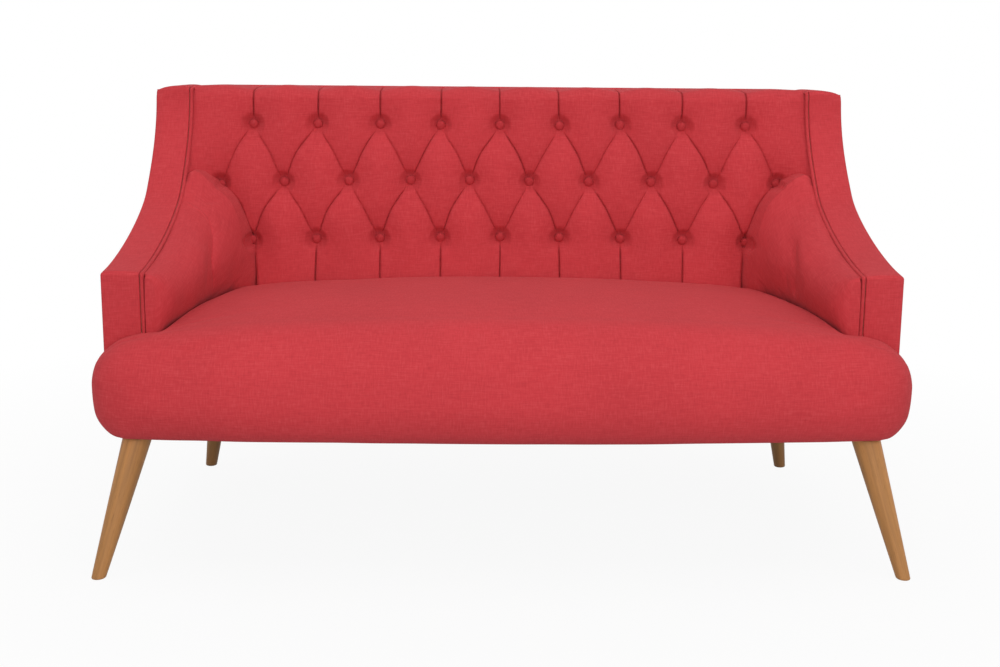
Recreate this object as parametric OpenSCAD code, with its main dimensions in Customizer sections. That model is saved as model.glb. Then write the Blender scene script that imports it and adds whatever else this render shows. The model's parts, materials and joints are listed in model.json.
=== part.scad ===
// Two-seater sofa with a deep-buttoned back, swooping arms and splayed tapered legs.
// Millimetres. X runs to the sitter's left-hand arm, Y runs to the back, Z is up.
// The origin lies on the floor under the middle of the sofa's overall box.

/* [Overall] */
// Width over the two outside arm covers
body_w = 1300; // [1240:10:1600]
// Depth from the seat's nose to the top rear edge of the back
body_d = 715; // [705:5:740]
// Height of the top of the back above the floor
back_h = 771; // [765:1:790]
// Height of the sofa's underside above the floor
underside_h = 222; // [200:1:226]
// Lean of the back's face from upright, in degrees
recline = 14; // [12:0.5:15]

/* [Arms] */
// Width of the covered arm front and of the sloping band above it
band_w = 63; // [60:1:70]
// Height of the arm at its front corner
arm_front_h = 481; // [470:1:500]
// Distance of the arm front behind the seat's nose
arm_setback = 129.5; // [120:0.5:134]
// How far the top of the wing lies below the top of the back
wing_drop = 6; // [3:0.5:16]
// Distance of the wing's front edge in front of the top rear edge of the back
wing_depth = 131.5; // [120:0.5:140]
// Thickness of the padded band over the arm's edge
band_t = 8; // [5:0.5:10]
// Diameter of the piping beside the band
piping_d = 7; // [5:0.5:7.5]

/* [Seat] */
// Height of the middle of the seat's crown
seat_crown_h = 424; // [410:1:428]
// Thickness of the padded back at the top of the wing
back_top_t = 121; // [112:0.5:126]
// How far the ends of the seat's front edge bow back
seat_bow = 27; // [10:1:32]
// How far the seat's ends stand proud of the arms
seat_end_proud = 2; // [0:0.5:6]
// Plan radius of the seat's front corners
seat_corner_r = 70; // [50:1:80]

/* [Back cushion] */
// Distance between neighbouring buttons in a row
button_pitch = 118; // [112:1:120]
// Distance between button rows, measured upright
row_pitch = 105; // [98:1:108]
// Distance of the top button row below the top of the back
top_row_drop = 74; // [70:1:82]
// Diameter of a covered button
button_d = 18; // [14:1:20]
// Depth of the button seats behind the cushion's crowns
tuft_depth = 30; // [24:1:36]
// Thickness of the back cushion at its crowns
back_pad_t = 70; // [60:1:76]

/* [Timber frame] */
// Height of the seat rails
rail_h = 75; // [65:1:78]
// Thickness of the front and rear rails
rail_t = 18; // [16:1:20]
// Thickness of the side rails
side_rail_t = 22; // [18:1:24]
// Thickness of the plywood arm sides
ply_t = 15; // [12:1:16]
// Width of the back's stiles
stile_w = 27; // [22:1:32]
// Thickness of the perforated back board
board_t = 9; // [6:1:12]
// Depth of the shaped former between an arm's two plywood sides
former_t = 30; // [20:1:36]

/* [Legs] */
// Leg diameter at the underside
leg_top_d = 46; // [40:1:50]
// Leg diameter at the floor
leg_foot_d = 22; // [18:1:28]
// Sideways splay of a front leg over its height
front_splay_x = 58; // [40:1:60]
// Forward splay of a front leg over its height
front_splay_y = 66; // [40:1:68]
// Sideways splay of a rear leg over its height
rear_splay_x = 40; // [20:1:60]
// Rearward splay of a rear leg over its height
rear_splay_y = 51; // [20:1:54]
// Side of the square steel leg plates
plate_w = 52; // [46:1:53]
// Thickness of the leg plates
plate_t = 3; // [2:0.5:4]

/* [Webbing] */
// Width of a webbing strap under the seat
web_w = 50; // [40:1:60]
// Thickness of the webbing
web_t = 1.6; // [1.2:0.1:2]
// Number of straps from front to back
web_long_n = 8; // [5:1:9]
// Number of straps from side to side
web_cross_n = 5; // [3:1:6]

/* [Fastenings] */
// Thread diameter of the bolts
bolt_d = 8; // [6:1:8]
// Diameter of the frame dowels
dowel_d = 10; // [8:1:10]
// Diameter of the leg plate screws
screw_d = 4; // [3:0.5:4.5]

/* [Hidden] */
$fn = 32;

// Finishes
cloth_red = [0.72, 0.15, 0.17];
cloth_deep = [0.6, 0.11, 0.13];
oak = [0.58, 0.4, 0.22];
beech = [0.8, 0.66, 0.46];
ply = [0.85, 0.72, 0.5];
steel = [0.7, 0.71, 0.72];
black_cloth = [0.12, 0.12, 0.13];
jute = [0.66, 0.55, 0.38];

// Clearances
fit = 0.25;      // round a pin or bolt, on the diameter
lay = 0.3;       // between soft pieces that lie against each other
web_gap = 0.1;   // between a strap and what it crosses

// Overall planes
plate_room = 3.5;
nose_in = arm_setback - seat_bow - plate_w - plate_room;  // leaves room for a leg plate
half_w = body_w / 2;
half_d = body_d / 2;
wing_h = back_h - wing_drop;
nose_y = -half_d;
arm_y = nose_y + arm_setback;
rear_rake = 72.5;
rear_foot_y = half_d - rear_rake;
rear_slope = (half_d - rear_foot_y) / (wing_h - underside_h);
function rear_y(z) = rear_foot_y + rear_slope * (z - underside_h);

// Skins and decks
skin_t = 4;
dust_t = 2;
frame_z = underside_h + plate_t;
deck_z = frame_z + rail_h;
hessian_t = 1.8;
web_wave = web_t / 2 + web_gap;
web_z = deck_z + web_gap + web_wave + web_t / 2;
hessian_z = web_z + web_wave + web_t / 2 + web_gap;
pad_z = hessian_z + hessian_t + lay;

// Across the arm
outer_ply_x = half_w - skin_t - ply_t;
inner_x = half_w - band_w;
former_x = inner_x + ply_t;
side_rail_x = inner_x - side_rail_t;

// Along the seat frame
front_rail_y = nose_y + nose_in + 2;
block_y = front_rail_y + rail_t;
// The front rail bows as the seat's nose does
function bow(x) = seat_bow * pow(min(abs(x) / (half_w - 50), 1), 2);
function rail_y(x) = front_rail_y + bow(x);
function bow_xs(end) = [for (i = [-6:6]) end * i / 6];
rear_rail_y = rear_y(frame_z) - skin_t - lay - rail_t;
rail_end_x = half_w - 45;
rear_block = 60;

// The back's reclined planes: w is the depth behind the crowns, square to the back's face
back_foot_z = seat_crown_h - 14;
stile_top_z = wing_h - band_t;
seat_back_y = half_d - back_top_t - (stile_top_z - back_foot_z) * tan(recline);
function back_y(z, w) = seat_back_y + (z - back_foot_z) * tan(recline) + w / cos(recline);
board_w = back_pad_t;
frame_w = board_w + board_t;
back_low_z = deck_z + 12;
back_rail_h = 45;
upright_t = 25;

// One corner of a cubic Bezier curve and its direction, at parameter t
function bez(p, t) = pow(1 - t, 3) * p[0] + 3 * t * pow(1 - t, 2) * p[1]
    + 3 * t * t * (1 - t) * p[2] + pow(t, 3) * p[3];
function bez_dir(p, t) = let (d = pow(1 - t, 2) * (p[1] - p[0]) + 2 * t * (1 - t) * (p[2] - p[1])
    + t * t * (p[3] - p[2])) d / norm(d);
function lerp(a, b, t) = a + (b - a) * t;
function clamp(v, lo, hi) = min(max(v, lo), hi);
function round_in(e, r) = e >= r ? 0 : r * (1 - sqrt(1 - pow((r - e) / r, 2)));

// The swoop of the arm, in Y and Z: a long low curve, then a steep one up the wing
wing_y = half_d - wing_depth;
swoop_mid = [wing_y - 112, wing_h - 183];
swoop_dir = [cos(43), sin(43)];
swoop_low = [[arm_y, arm_front_h], [arm_y + 118, arm_front_h + 7],
    swoop_mid - 57 * swoop_dir, swoop_mid];
swoop_high = [swoop_mid, swoop_mid + 65 * swoop_dir, [wing_y, wing_h - 77], [wing_y, wing_h]];
swoop_steps = 10;
function swoop_at(s) = s < 1 ? bez(swoop_low, s) : bez(swoop_high, min(s - 1, 1));
function swoop_dir_at(s) = s < 1 ? bez_dir(swoop_low, s) : bez_dir(swoop_high, min(s - 1, 1));
// A point of the swoop, set in from the arm's edge by d
function swoop_in(s, d) = let (t = swoop_dir_at(s)) swoop_at(s) + d * [t[1], -t[0]];
front_slope = (swoop_low[1][1] - swoop_low[0][1]) / (swoop_low[1][0] - swoop_low[0][0]);
function front_corner(d) = [arm_y + d, arm_front_h + front_slope * d
    - d * sqrt(1 + front_slope * front_slope)];
// The arm's front and swooping edge, set in by d, from its lowest point to the top of the wing
function arm_edge(d, low_z) = concat(
    [[arm_y + d, low_z], front_corner(d)],
    [for (i = [1:2 * swoop_steps - 1]) let (p = swoop_in(i / swoop_steps, d))
        if (p[0] > arm_y + d + 8 && p[1] < wing_h - d - 4) p],
    [[wing_y + d, wing_h - d]]);
// A whole side of the arm, set in by d at its edge, closed down the rear
function arm_side(d, low_z) = concat(arm_edge(d, low_z),
    [[rear_y(wing_h - d) - skin_t, wing_h - d], [rear_y(low_z) - skin_t, low_z]]);

// Where an arm cushion's inner face stands: at the seat's rear, and at the arm front
arm_pad_rear_x = inner_x - 122;
arm_pad_front_x = inner_x - 56;
function arm_pad_x(y) = lerp(arm_pad_front_x, arm_pad_rear_x,
    (y - arm_y) / (seat_back_y - arm_y));
// The crease where an arm cushion dies into the back: how far out it lies at height z
crease_low_z = back_foot_z + 5;
crease_top_z = wing_h - 161;
function crease_x(z) = let (s = clamp((z - crease_low_z) / (crease_top_z + 8 - crease_low_z), 0, 1))
    inner_x - (inner_x - arm_pad_rear_x) * pow(1 - pow(s, 1.8), 1 / 1.8);

// Button positions: as many rows and buttons as the back has room for, with every other row
// half a pitch over and one button longer
button_margin = 45;
low_row_min = 50;
top_row_z = back_h - top_row_drop;
long_row = 1 + floor(2 * (inner_x - button_margin) / button_pitch);
last_row = floor((top_row_z - back_foot_z - low_row_min) / row_pitch);
rows = [0:last_row];
function row_count(r) = r % 2 == 1 ? long_row : long_row - 1;
function row_z(r) = top_row_z - r * row_pitch;
function button_x(r, i) = (i - (row_count(r) - 1) / 2) * button_pitch;
short_row_x = button_x(0, row_count(0) - 1);
buttons = [for (r = rows) for (i = [0:row_count(r) - 1]) [button_x(r, i), row_z(r)]];
button_seat = 10;

// The back's uprights stand between two columns of ties and clear their toggles
toggle_l = 18;
toggle_d = 5;
upright_x = 1.75 * button_pitch;
upright_w = button_pitch / 2 - toggle_l - 1;

module mirrored(side) { scale_x = side; if (scale_x > 0) children(); else mirror([1, 0, 0]) children(); }

// A plate whose outline lies in the Y-Z plane, from x0 to x1
module yz_plate(points, x0, x1) {
    translate([x0, 0, 0]) rotate([90, 0, 90]) linear_extrude(x1 - x0) polygon(points);
}

// A rod from one point to another
module rod(a, b, d) {
    v = b - a;
    translate(a) rotate([0, acos(v[2] / norm(v)), atan2(v[1], v[0])]) cylinder(h = norm(v), d = d);
}

// A closed skin over a row of sections with equally many points
module loft(sections, pivot = 0) {
    n = len(sections[0]);
    m = len(sections);
    points = [for (s = sections) each s];
    sides = [for (i = [0:m - 2]) for (j = [0:n - 1]) let (
        a = i * n + j, b = i * n + (j + 1) % n, c = (i + 1) * n + (j + 1) % n, d = (i + 1) * n + j)
        each [[a, b, c], [a, c, d]]];
    start = [for (j = [1:n - 2]) [pivot, (pivot + j + 1) % n, (pivot + j) % n]];
    end = [for (j = [1:n - 2]) (m - 1) * n * [1, 1, 1] + [pivot, (pivot + j) % n, (pivot + j + 1) % n]];
    polyhedron(points, concat(sides, start, end), convexity = 6);
}

// Seat frame

// Plan of a strip along the bowed front, from d0 to d1 behind the rail's face
module bow_strip(d0, d1) {
    xs = bow_xs(rail_end_x);
    polygon(concat([for (x = xs) [x, rail_y(x) + d0]],
        [for (i = [len(xs) - 1:-1:0]) [xs[i], rail_y(xs[i]) + d1]]));
}

module front_rail() color(beech) difference() {
    translate([0, 0, frame_z]) linear_extrude(rail_h) bow_strip(0, rail_t);
    rail_dowel_bores();
    leg_bores();
}

module rear_rail() color(beech) difference() {
    translate([-inner_x, rear_rail_y, frame_z]) cube([2 * inner_x, rail_t, rail_h]);
    rail_dowel_bores();
    leg_bores();
}

module side_rail(side) color(beech) difference() {
    mirrored(side) translate([side_rail_x, arm_y, frame_z])
        cube([side_rail_t, rear_rail_y - arm_y, rail_h]);
    rail_dowel_bores();
    arm_bolt_bores();
}

module seat_brace() color(beech) difference() {
    brace_h = rail_h - 15;
    translate([-side_rail_t / 2, block_y + lay, frame_z])
        cube([side_rail_t, rear_rail_y - block_y - lay, brace_h]);
    rail_dowel_bores();
}

module front_leg_blocks() color(beech) difference() {
    for (side = [-1, 1]) mirrored(side) translate([0, 0, frame_z]) linear_extrude(rail_h)
        polygon([[front_block_x, last_bow_y(front_block_x)], [front_block_x, arm_y],
            [rail_end_x, arm_y], [rail_end_x, last_bow_y(rail_end_x)]]);
    rail_dowel_bores();
    leg_bores();
}

module rear_leg_blocks() color(beech) difference() {
    for (side = [-1, 1]) mirrored(side)
        translate([side_rail_x - rear_block, rear_rail_y - rear_block, frame_z])
        cube([rear_block, rear_block, rail_h]);
    rail_dowel_bores();
    leg_bores();
}

// The rear face of the rail's last straight facet, which each front leg block is glued to
function last_bow_y(x) = let (a = bow_xs(rail_end_x)[11])
    lerp(rail_y(a), rail_y(rail_end_x), (x - a) / (rail_end_x - a)) + rail_t;
front_block_x = rail_end_x - 60;

// Dowels: each entry is where the joint face is, and runs along Y
dowel_l = 24;
dowel_z = [frame_z + 45, frame_z + 62];
dowel_spots = concat(
    [for (x = [12, 48]) [front_block_x + x, last_bow_y(front_block_x + x)]],
    [for (x = [12, 48]) [side_rail_x - rear_block + x, rear_rail_y]],
    [[side_rail_x + side_rail_t / 2, rear_rail_y]]);
module rail_dowel_set(d, l) {
    for (side = [-1, 1]) for (s = dowel_spots)
        translate([side * s[0], s[1] - l / 2, dowel_z[1]]) rotate([-90, 0, 0]) cylinder(h = l, d = d);
    for (y = [block_y, rear_rail_y]) translate([0, y - l / 2, frame_z + 30]) rotate([-90, 0, 0])
        cylinder(h = l, d = d);
}
module rail_dowel_bores() { rail_dowel_set(dowel_d + fit, dowel_l + 1); }
module rail_dowels() color(beech) rail_dowel_set(dowel_d, dowel_l);

// Arm frames

module arm_inner_ply(side) color(ply) difference() {
    mirrored(side) yz_plate(arm_side(band_t, frame_z), inner_x, former_x);
    arm_bolt_bores();
    back_bolt_bores();
}

module arm_outer_ply(side) color(ply)
    mirrored(side) yz_plate(arm_side(band_t, frame_z), outer_ply_x, half_w - skin_t);

// A shaped rib between the plywood sides, up the front and along the swoop
module arm_former(side) color(beech) {
    outer = arm_edge(band_t, frame_z);
    inner = arm_edge(band_t + former_t, frame_z);
    mirrored(side) yz_plate(concat(outer, [for (i = [len(inner) - 1:-1:0]) inner[i]]),
        former_x, outer_ply_x);
}

// Bolts through each inner arm side and its side rail, and through it and the back's stile
arm_bolt_y = let (a = arm_y + 80, b = rear_rail_y - rear_block - 20) [a, (a + b) / 2, b];
arm_bolt_z = frame_z + rail_h / 2;
back_bolt_z = let (e = back_rail_h + 35) [deck_z + e, stile_top_z - e];
function back_bolt_y(z) = (back_y(z, frame_w) + rear_y(z) - skin_t) / 2;
head_d = 2 * bolt_d;
head_t = 5;
nut_t = 7;
module at_arm_bolts() {
    for (side = [-1, 1]) for (y = arm_bolt_y) mirrored(side) translate([0, y, arm_bolt_z])
        rotate([0, 90, 0]) children();
}
module at_back_bolts() {
    for (side = [-1, 1]) for (z = back_bolt_z) mirrored(side) translate([0, back_bolt_y(z), z])
        rotate([0, 90, 0]) children();
}
// A bolt along Z with its head on top of grip_end
module bolt(grip_start, grip_end) {
    start = grip_start - nut_t - 3;
    translate([0, 0, start]) cylinder(h = grip_end - start, d = bolt_d);
    translate([0, 0, grip_end]) cylinder(h = head_t, d = head_d);
}
module nut(grip_start) {
    translate([0, 0, grip_start - nut_t]) difference() {
        cylinder(h = nut_t, d = 1.9 * bolt_d, $fn = 6);
        translate([0, 0, -1]) cylinder(h = nut_t + 2, d = bolt_d + fit);
    }
}
module arm_bolt_bores() { at_arm_bolts() translate([0, 0, side_rail_x - 1])
    cylinder(h = side_rail_t + ply_t + 2, d = bolt_d + fit); }
module back_bolt_bores() { at_back_bolts() translate([0, 0, inner_x - stile_w - 1])
    cylinder(h = stile_w + ply_t + 2, d = bolt_d + fit); }
module arm_bolts() color(steel) at_arm_bolts() bolt(side_rail_x, former_x);
module arm_bolt_nuts() color(steel) at_arm_bolts() nut(side_rail_x);
module back_bolts() color(steel) at_back_bolts() bolt(inner_x - stile_w, former_x);
module back_bolt_nuts() color(steel) at_back_bolts() nut(inner_x - stile_w);

// Back frame

function back_slab(z0, z1, w0, to_rear) = [
    [back_y(z0, w0), z0], [back_y(z1, w0), z1],
    [to_rear ? rear_y(z1) - skin_t : back_y(z1, w0 + upright_t), z1],
    [to_rear ? rear_y(z0) - skin_t : back_y(z0, w0 + upright_t), z0]];

module back_stile(side) color(beech) difference() {
    mirrored(side) yz_plate(back_slab(deck_z, stile_top_z, frame_w, true), inner_x - stile_w, inner_x);
    back_bolt_bores();
    back_dowel_bores();
}

module back_top_rail() color(beech) difference() {
    yz_plate(back_slab(stile_top_z - back_rail_h, stile_top_z, frame_w, true),
        stile_w - inner_x, inner_x - stile_w);
    back_dowel_bores();
}

module back_bottom_rail() color(beech) difference() {
    yz_plate(back_slab(back_low_z, back_low_z + back_rail_h, frame_w, true),
        stile_w - inner_x, inner_x - stile_w);
    back_dowel_bores();
}

module back_uprights() color(beech) for (side = [-1, 1]) {
    x = side * upright_x - upright_w / 2;
    yz_plate(back_slab(back_low_z + back_rail_h, stile_top_z - back_rail_h, frame_w, false),
        x, x + upright_w);
}

module back_board() color(ply) difference() {
    yz_plate([[back_y(back_low_z, board_w), back_low_z], [back_y(stile_top_z, board_w), stile_top_z],
        [back_y(stile_top_z, frame_w), stile_top_z], [back_y(back_low_z, frame_w), back_low_z]],
        -inner_x, inner_x);
    at_buttons() translate([0, 0, board_w - 1]) cylinder(h = board_t + 2, d = twine_hole_d);
}

back_dowel_z = [back_low_z + back_rail_h / 2, stile_top_z - back_rail_h / 2];
module back_dowel_set(d, l) {
    for (side = [-1, 1]) for (z = back_dowel_z) mirrored(side)
        translate([inner_x - stile_w - l / 2, back_bolt_y(z), z]) rotate([0, 90, 0])
        cylinder(h = l, d = d);
}
module back_dowel_bores() { back_dowel_set(dowel_d + fit, dowel_l + 1); }
module back_dowels() color(beech) back_dowel_set(dowel_d, dowel_l);

// Seat webbing: straps woven over and under each other, stapled down on the rails

web_long_pitch = (2 * side_rail_x - web_w) / web_long_n;
web_long_x = [for (i = [0:web_long_n - 1]) (i - (web_long_n - 1) / 2) * web_long_pitch];
web_front_y = block_y + seat_bow + 30;
web_rear_y = back_y(deck_z, frame_w) - 5;
web_cross_pitch = (web_rear_y - web_front_y) / web_cross_n;
web_cross_y = [for (j = [0:web_cross_n - 1]) web_front_y + (j + 0.5) * web_cross_pitch];
// The run of a strap from one rail to the other, over or under each strap that it crosses
function web_run(ends, crossings, first) = concat([[ends[0], -web_wave]],
    [for (k = [0:len(crossings) - 1]) let (h = web_wave * ((k + first) % 2 == 0 ? 1 : -1))
        each [[crossings[k] - web_w / 2 - 1, h], [crossings[k] + web_w / 2 + 1, h]]],
    [[ends[1], -web_wave]]);
function strap_outline(run) = concat([for (p = run) [p[0], web_z + p[1] + web_t / 2]],
    [for (i = [len(run) - 1:-1:0]) [run[i][0], web_z + run[i][1] - web_t / 2]]);
module webbing_long() color(jute) for (i = [0:web_long_n - 1]) let (x = web_long_x[i])
    yz_plate(strap_outline(web_run([rail_y(x) + 2, rear_rail_y + rail_t - 2], web_cross_y, i)),
        x - web_w / 2, x + web_w / 2);
module webbing_cross() color(jute) for (j = [0:web_cross_n - 1])
    translate([0, web_cross_y[j] + web_w / 2, 0]) rotate([90, 0, 0]) linear_extrude(web_w)
    polygon(strap_outline(web_run([2 - inner_x, inner_x - stile_w - 2], web_long_x, j + 1)));

module seat_hessian() color(jute) translate([0, 0, hessian_z]) linear_extrude(hessian_t)
    polygon(concat([for (x = bow_xs(inner_x - stile_w - lay)) [x, rail_y(x) + 1]],
        [for (side = [1, -1]) [side * (inner_x - stile_w - lay), rear_rail_y]]));

// Seat cushion

seat_end_x = half_w + seat_end_proud;
nose_z = underside_h + 83;
seat_foot_r = 50;
seat_top_r = 45;
seat_fall = 16;
crown_run = 200;
crown_y = seat_back_y - crown_run;
function seat_front_y(x) = nose_y + bow(x) + round_in(seat_end_x - abs(x), seat_corner_r);
function seat_rear_y(x) = abs(x) <= arm_pad_rear_x ? seat_back_y
    : abs(x) <= arm_pad_front_x
        ? lerp(seat_back_y, arm_y - lay, (abs(x) - arm_pad_rear_x) / (arm_pad_front_x - arm_pad_rear_x))
        : arm_y - lay;
function seat_z(x, y) = seat_crown_h - (y > crown_y ? 8 : 16) * pow((y - crown_y) / crown_run, 2)
    - seat_fall * pow(x / arm_pad_rear_x, 2) - round_in(seat_end_x - abs(x), seat_top_r);
function seat_low_z(x) = underside_h + round_in(seat_end_x - abs(x), seat_foot_r);
seat_lower = [for (a = [0:22.5:67.5]) a];
seat_upper = [for (a = [0:15:75]) a];
seat_top_steps = 8;
function seat_section(x) = let (
    yf = seat_front_y(x), ye = seat_rear_y(x), zb = seat_low_z(x),
    over_rail = abs(x) <= rail_end_x + 1, yn = rail_y(x) - lay,
    nb = over_rail ? min(nose_in, yn - yf - 1.5) : min(nose_in, ye - yf - 8),
    nt = min(110, ye - yf - 4), yt = yf + nt, zt = seat_z(x, yt))
    concat(
        [for (a = seat_lower) [x, yf + nb * (1 - pow(sin(a), 0.9)), lerp(nose_z, zb, pow(cos(a), 0.9))]],
        [for (a = seat_upper) [x, yf + nt * (1 - pow(cos(a), 0.95)), lerp(nose_z, zt, pow(sin(a), 0.95))]],
        [for (i = [0:seat_top_steps]) let (y = lerp(yt, ye, i / seat_top_steps)) [x, y, seat_z(x, y)]],
        over_rail
            ? [[x, ye, pad_z], [x, yn, pad_z], [x, yn, zb]]
            : [[x, ye, zb + 1], [x, lerp(yf + nb, ye, 0.6), zb], [x, lerp(yf + nb, ye, 0.2), zb]]);
seat_xs = let (e = seat_end_x, r = rail_end_x, half = concat(
        [e, e - 2, e - 7, e - 15, e - 26, e - 38], [r + 3, r + 1],
        [for (t = [1, 0.5]) lerp(arm_pad_front_x, r, t * 0.6)],
        [for (t = [1, 0.75, 0.5, 0.25, 0]) lerp(arm_pad_rear_x, arm_pad_front_x, t)],
        [for (t = [0.86, 0.7, 0.54, 0.4, 0.26, 0.13]) arm_pad_rear_x * t]))
    concat([for (x = half) -x], [0], [for (i = [len(half) - 1:-1:0]) half[i]]);
module seat_pad() color(cloth_red) loft([for (x = seat_xs) seat_section(x)], pivot = len(seat_lower));

// Back cushion

pleat_depth = 16;
twine_hole_d = 5;
function fold(v) = abs(sin(180 * v));
function nearest_button(x, z) = min([for (b = buttons) norm([x - b[0], z - b[1]])]);
// Depth of the diamond-pleated face behind its crowns, at x and height z
function face_depth(x, z) = let (
    u = (clamp(z, row_z(last_row), row_z(0)) - row_z(0)) / (2 * row_pitch),
    v = (x - short_row_x) / button_pitch,
    s = fold(v + u) * fold(v - u),
    outside = abs(x) > short_row_x && !(z < row_z(0) - 8 && z > row_z(last_row)),
    puff = outside ? clamp((abs(x) - short_row_x) / 40, 0, 1) : pow(s, 0.4),
    d = nearest_button(x, z))
    pleat_depth * (1 - puff) + (tuft_depth - pleat_depth) * exp(-pow(d / 26, 2));
// The face with its flat bed behind the arm cushions and its sides brought forward to the wings
arm_bed = 23;
wing_front = [for (i = [0:30]) let (p = swoop_at(i / 15)) [p[1], p[0]]];
function wing_reach(z) = back_y(z, 0) - lookup(z, wing_front) - piping_d - 1;
function pad_depth(x, z) = nearest_button(x, z) < button_seat * 1.5 ? tuft_depth : let (
    bed = clamp((crease_x(z - 22) - 22 - abs(x)) / 30, 0, 1),
    edge = clamp((abs(x) - (inner_x - 50)) / 50, 0, 1),
    reach = wing_reach(z) * (wing_reach(z) > 0 ? 0.8 * edge * edge : min(1, 1.4 * edge)))
    z > crease_top_z + 18 ? face_depth(x, z) - reach : lerp(arm_bed, face_depth(x, z), bed);
function face_rows() = concat(
    [back_low_z, back_foot_z],
    [for (t = [0.35, 0.7]) lerp(back_foot_z, row_z(last_row) - button_seat, t)],
    [for (r = [last_row:-1:0]) each concat([row_z(r) - button_seat, row_z(r) + button_seat],
        r == 0 ? [] : [for (t = [0.25, 0.5, 0.75])
            lerp(row_z(r) + button_seat, row_z(r - 1) - button_seat, t)])],
    [for (t = [0.4, 0.75, 1]) lerp(row_z(0) + button_seat, back_h - 17, t)]);
// Scallops along the top edge between the pleats
function top_z(x) = back_h
    - (abs(x) > short_row_x ? 0 : 5 * (1 - pow(fold((x - short_row_x) / button_pitch), 0.5)));
function back_section(x) = concat(
    [for (z = face_rows()) z < back_foot_z + 1
        ? [x, seat_back_y + lay + (abs(x) > arm_pad_rear_x - 25 ? arm_bed : 0), z]
        : [x, max(back_y(z, pad_depth(x, z)), seat_back_y + lay), z]],
    [[x, max(back_y(back_h, 0) + 6, back_y(back_h - 17, pad_depth(x, back_h - 17))), top_z(x) - 4], [x, back_y(back_h, 30), top_z(x)],
        [x, rear_y(wing_h) - 14, top_z(x) - 1], [x, rear_y(wing_h) - lay, wing_h - 3],
        [x, rear_y(stile_top_z) - lay, stile_top_z + lay],
        [x, back_y(stile_top_z, board_w - lay), stile_top_z + lay],
        [x, back_y(back_low_z, board_w - lay), back_low_z]]);
// A list of numbers put in order, largest first
function falling(v) = len(v) < 2 ? v : let (p = v[0]) concat(
    falling([for (i = [1:len(v) - 1]) if (v[i] >= p) v[i]]), [p],
    falling([for (i = [1:len(v) - 1]) if (v[i] < p) v[i]]));
back_xs = let (half = falling(concat([inner_x - lay, inner_x - 12, inner_x - 27, arm_pad_rear_x - 1],
        [for (k = [long_row - 1:-1:1]) for (e = [1, -1]) k * button_pitch / 2 + e * button_seat],
        [button_seat])))
    concat([for (x = half) -x], [for (i = [len(half) - 1:-1:0]) half[i]]);
module back_pad() color(cloth_red) loft([for (x = back_xs) back_section(x)],
    pivot = len(back_section(0)) - 2);

// Places children at each button's seat, with Z running square into the back
module at_buttons() {
    for (b = buttons) translate([b[0], back_y(b[1], tuft_depth), b[1]]) rotate([-90 - recline, 0, 0])
        translate([0, 0, -tuft_depth]) children();
}
button_h = 7;
button_r = (pow(button_d / 2, 2) + pow(button_h - 1.5, 2)) / (2 * (button_h - 1.5));
module back_buttons() color(cloth_deep) at_buttons() translate([0, 0, tuft_depth - lay]) mirror([0, 0, 1])
    intersection() {
        translate([0, 0, button_h - button_r]) sphere(r = button_r);
        cylinder(h = button_h, d = button_d);
    }

twine_d = 2;
module button_ties() color(jute) at_buttons() {
    translate([0, 0, tuft_depth - lay]) cylinder(h = frame_w - tuft_depth + lay + toggle_d / 2, d = twine_d);
    translate([-toggle_l / 2, 0, frame_w + toggle_d / 2]) rotate([0, 90, 0]) cylinder(h = toggle_l, d = toggle_d);
}

// Arm cushions

arm_pad_front_r = 30;
arm_pad_run = seat_back_y - arm_y - lay;
arm_pad_steps = concat([0, (piping_d + 0.5) / arm_pad_run, (piping_d + 1.5) / arm_pad_run],
    [0.05, 0.1, 0.17, 0.27, 0.38, 0.5, 0.62, 0.74, 0.85, 0.93, 1]);
arm_pad_rises = [0, 0.14, 0.3, 0.46, 0.62, 0.76, 0.88, 0.96, 1];
// Height of the arm's edge, set in under the piping, at depth y
under_piping = [for (i = [0:60]) swoop_in(i / 30, piping_d + 2)];
function edge_under(y) = lookup(y, under_piping);
function arm_pad_section(t) = let (
    y0 = lerp(arm_y + lay, seat_back_y, t), lean = t * tan(recline), n = lerp(3.4, 1.8, t),
    y = y0 + t * (arm_bed - 1) / cos(recline),
    x_in = arm_pad_x(y0) + lay + 0.7 * round_in(y0 - arm_y - lay, arm_pad_front_r),
    x_out = inner_x - lay - (y0 < arm_y + piping_d + 1 ? piping_d : 0),
    z_low = lerp(seat_z(arm_pad_x(y0), y0) - 4, back_foot_z, t),
    z_top = min(edge_under(y0), crease_top_z - 2))
    concat([[x_out, y, z_low], [x_out, y, pad_z], [x_in, y, pad_z]],
        [for (s = arm_pad_rises) let (z = lerp(z_low, z_top, s))
            [x_out - (x_out - x_in) * pow(max(0, 1 - pow(s, n)), 1 / n),
                y + max(0, z - back_foot_z) * lean, z]]);
module arm_pad(side) color(cloth_red) mirrored(side)
    loft([for (i = [len(arm_pad_steps) - 1:-1:0]) arm_pad_section(arm_pad_steps[i])]);

// Arm bands, piping and outside covers

module arm_band(side) color(cloth_red) {
    outer = concat(arm_edge(0, underside_h), [[rear_y(wing_h), wing_h]]);
    inner = concat(arm_edge(band_t, underside_h), [[rear_y(wing_h - band_t), wing_h - band_t]]);
    mirrored(side) yz_plate(concat(outer, [for (i = [len(inner) - 1:-1:0]) inner[i]]), inner_x, half_w);
}

piping_in = piping_d / 2;
piping_path = concat([[arm_y + piping_in, pad_z + 64], front_corner(piping_in)],
    [for (i = [1:2 * swoop_steps - 1]) swoop_in(i / swoop_steps, piping_in)],
    [[wing_y + piping_in, wing_h - band_t]]);
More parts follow.
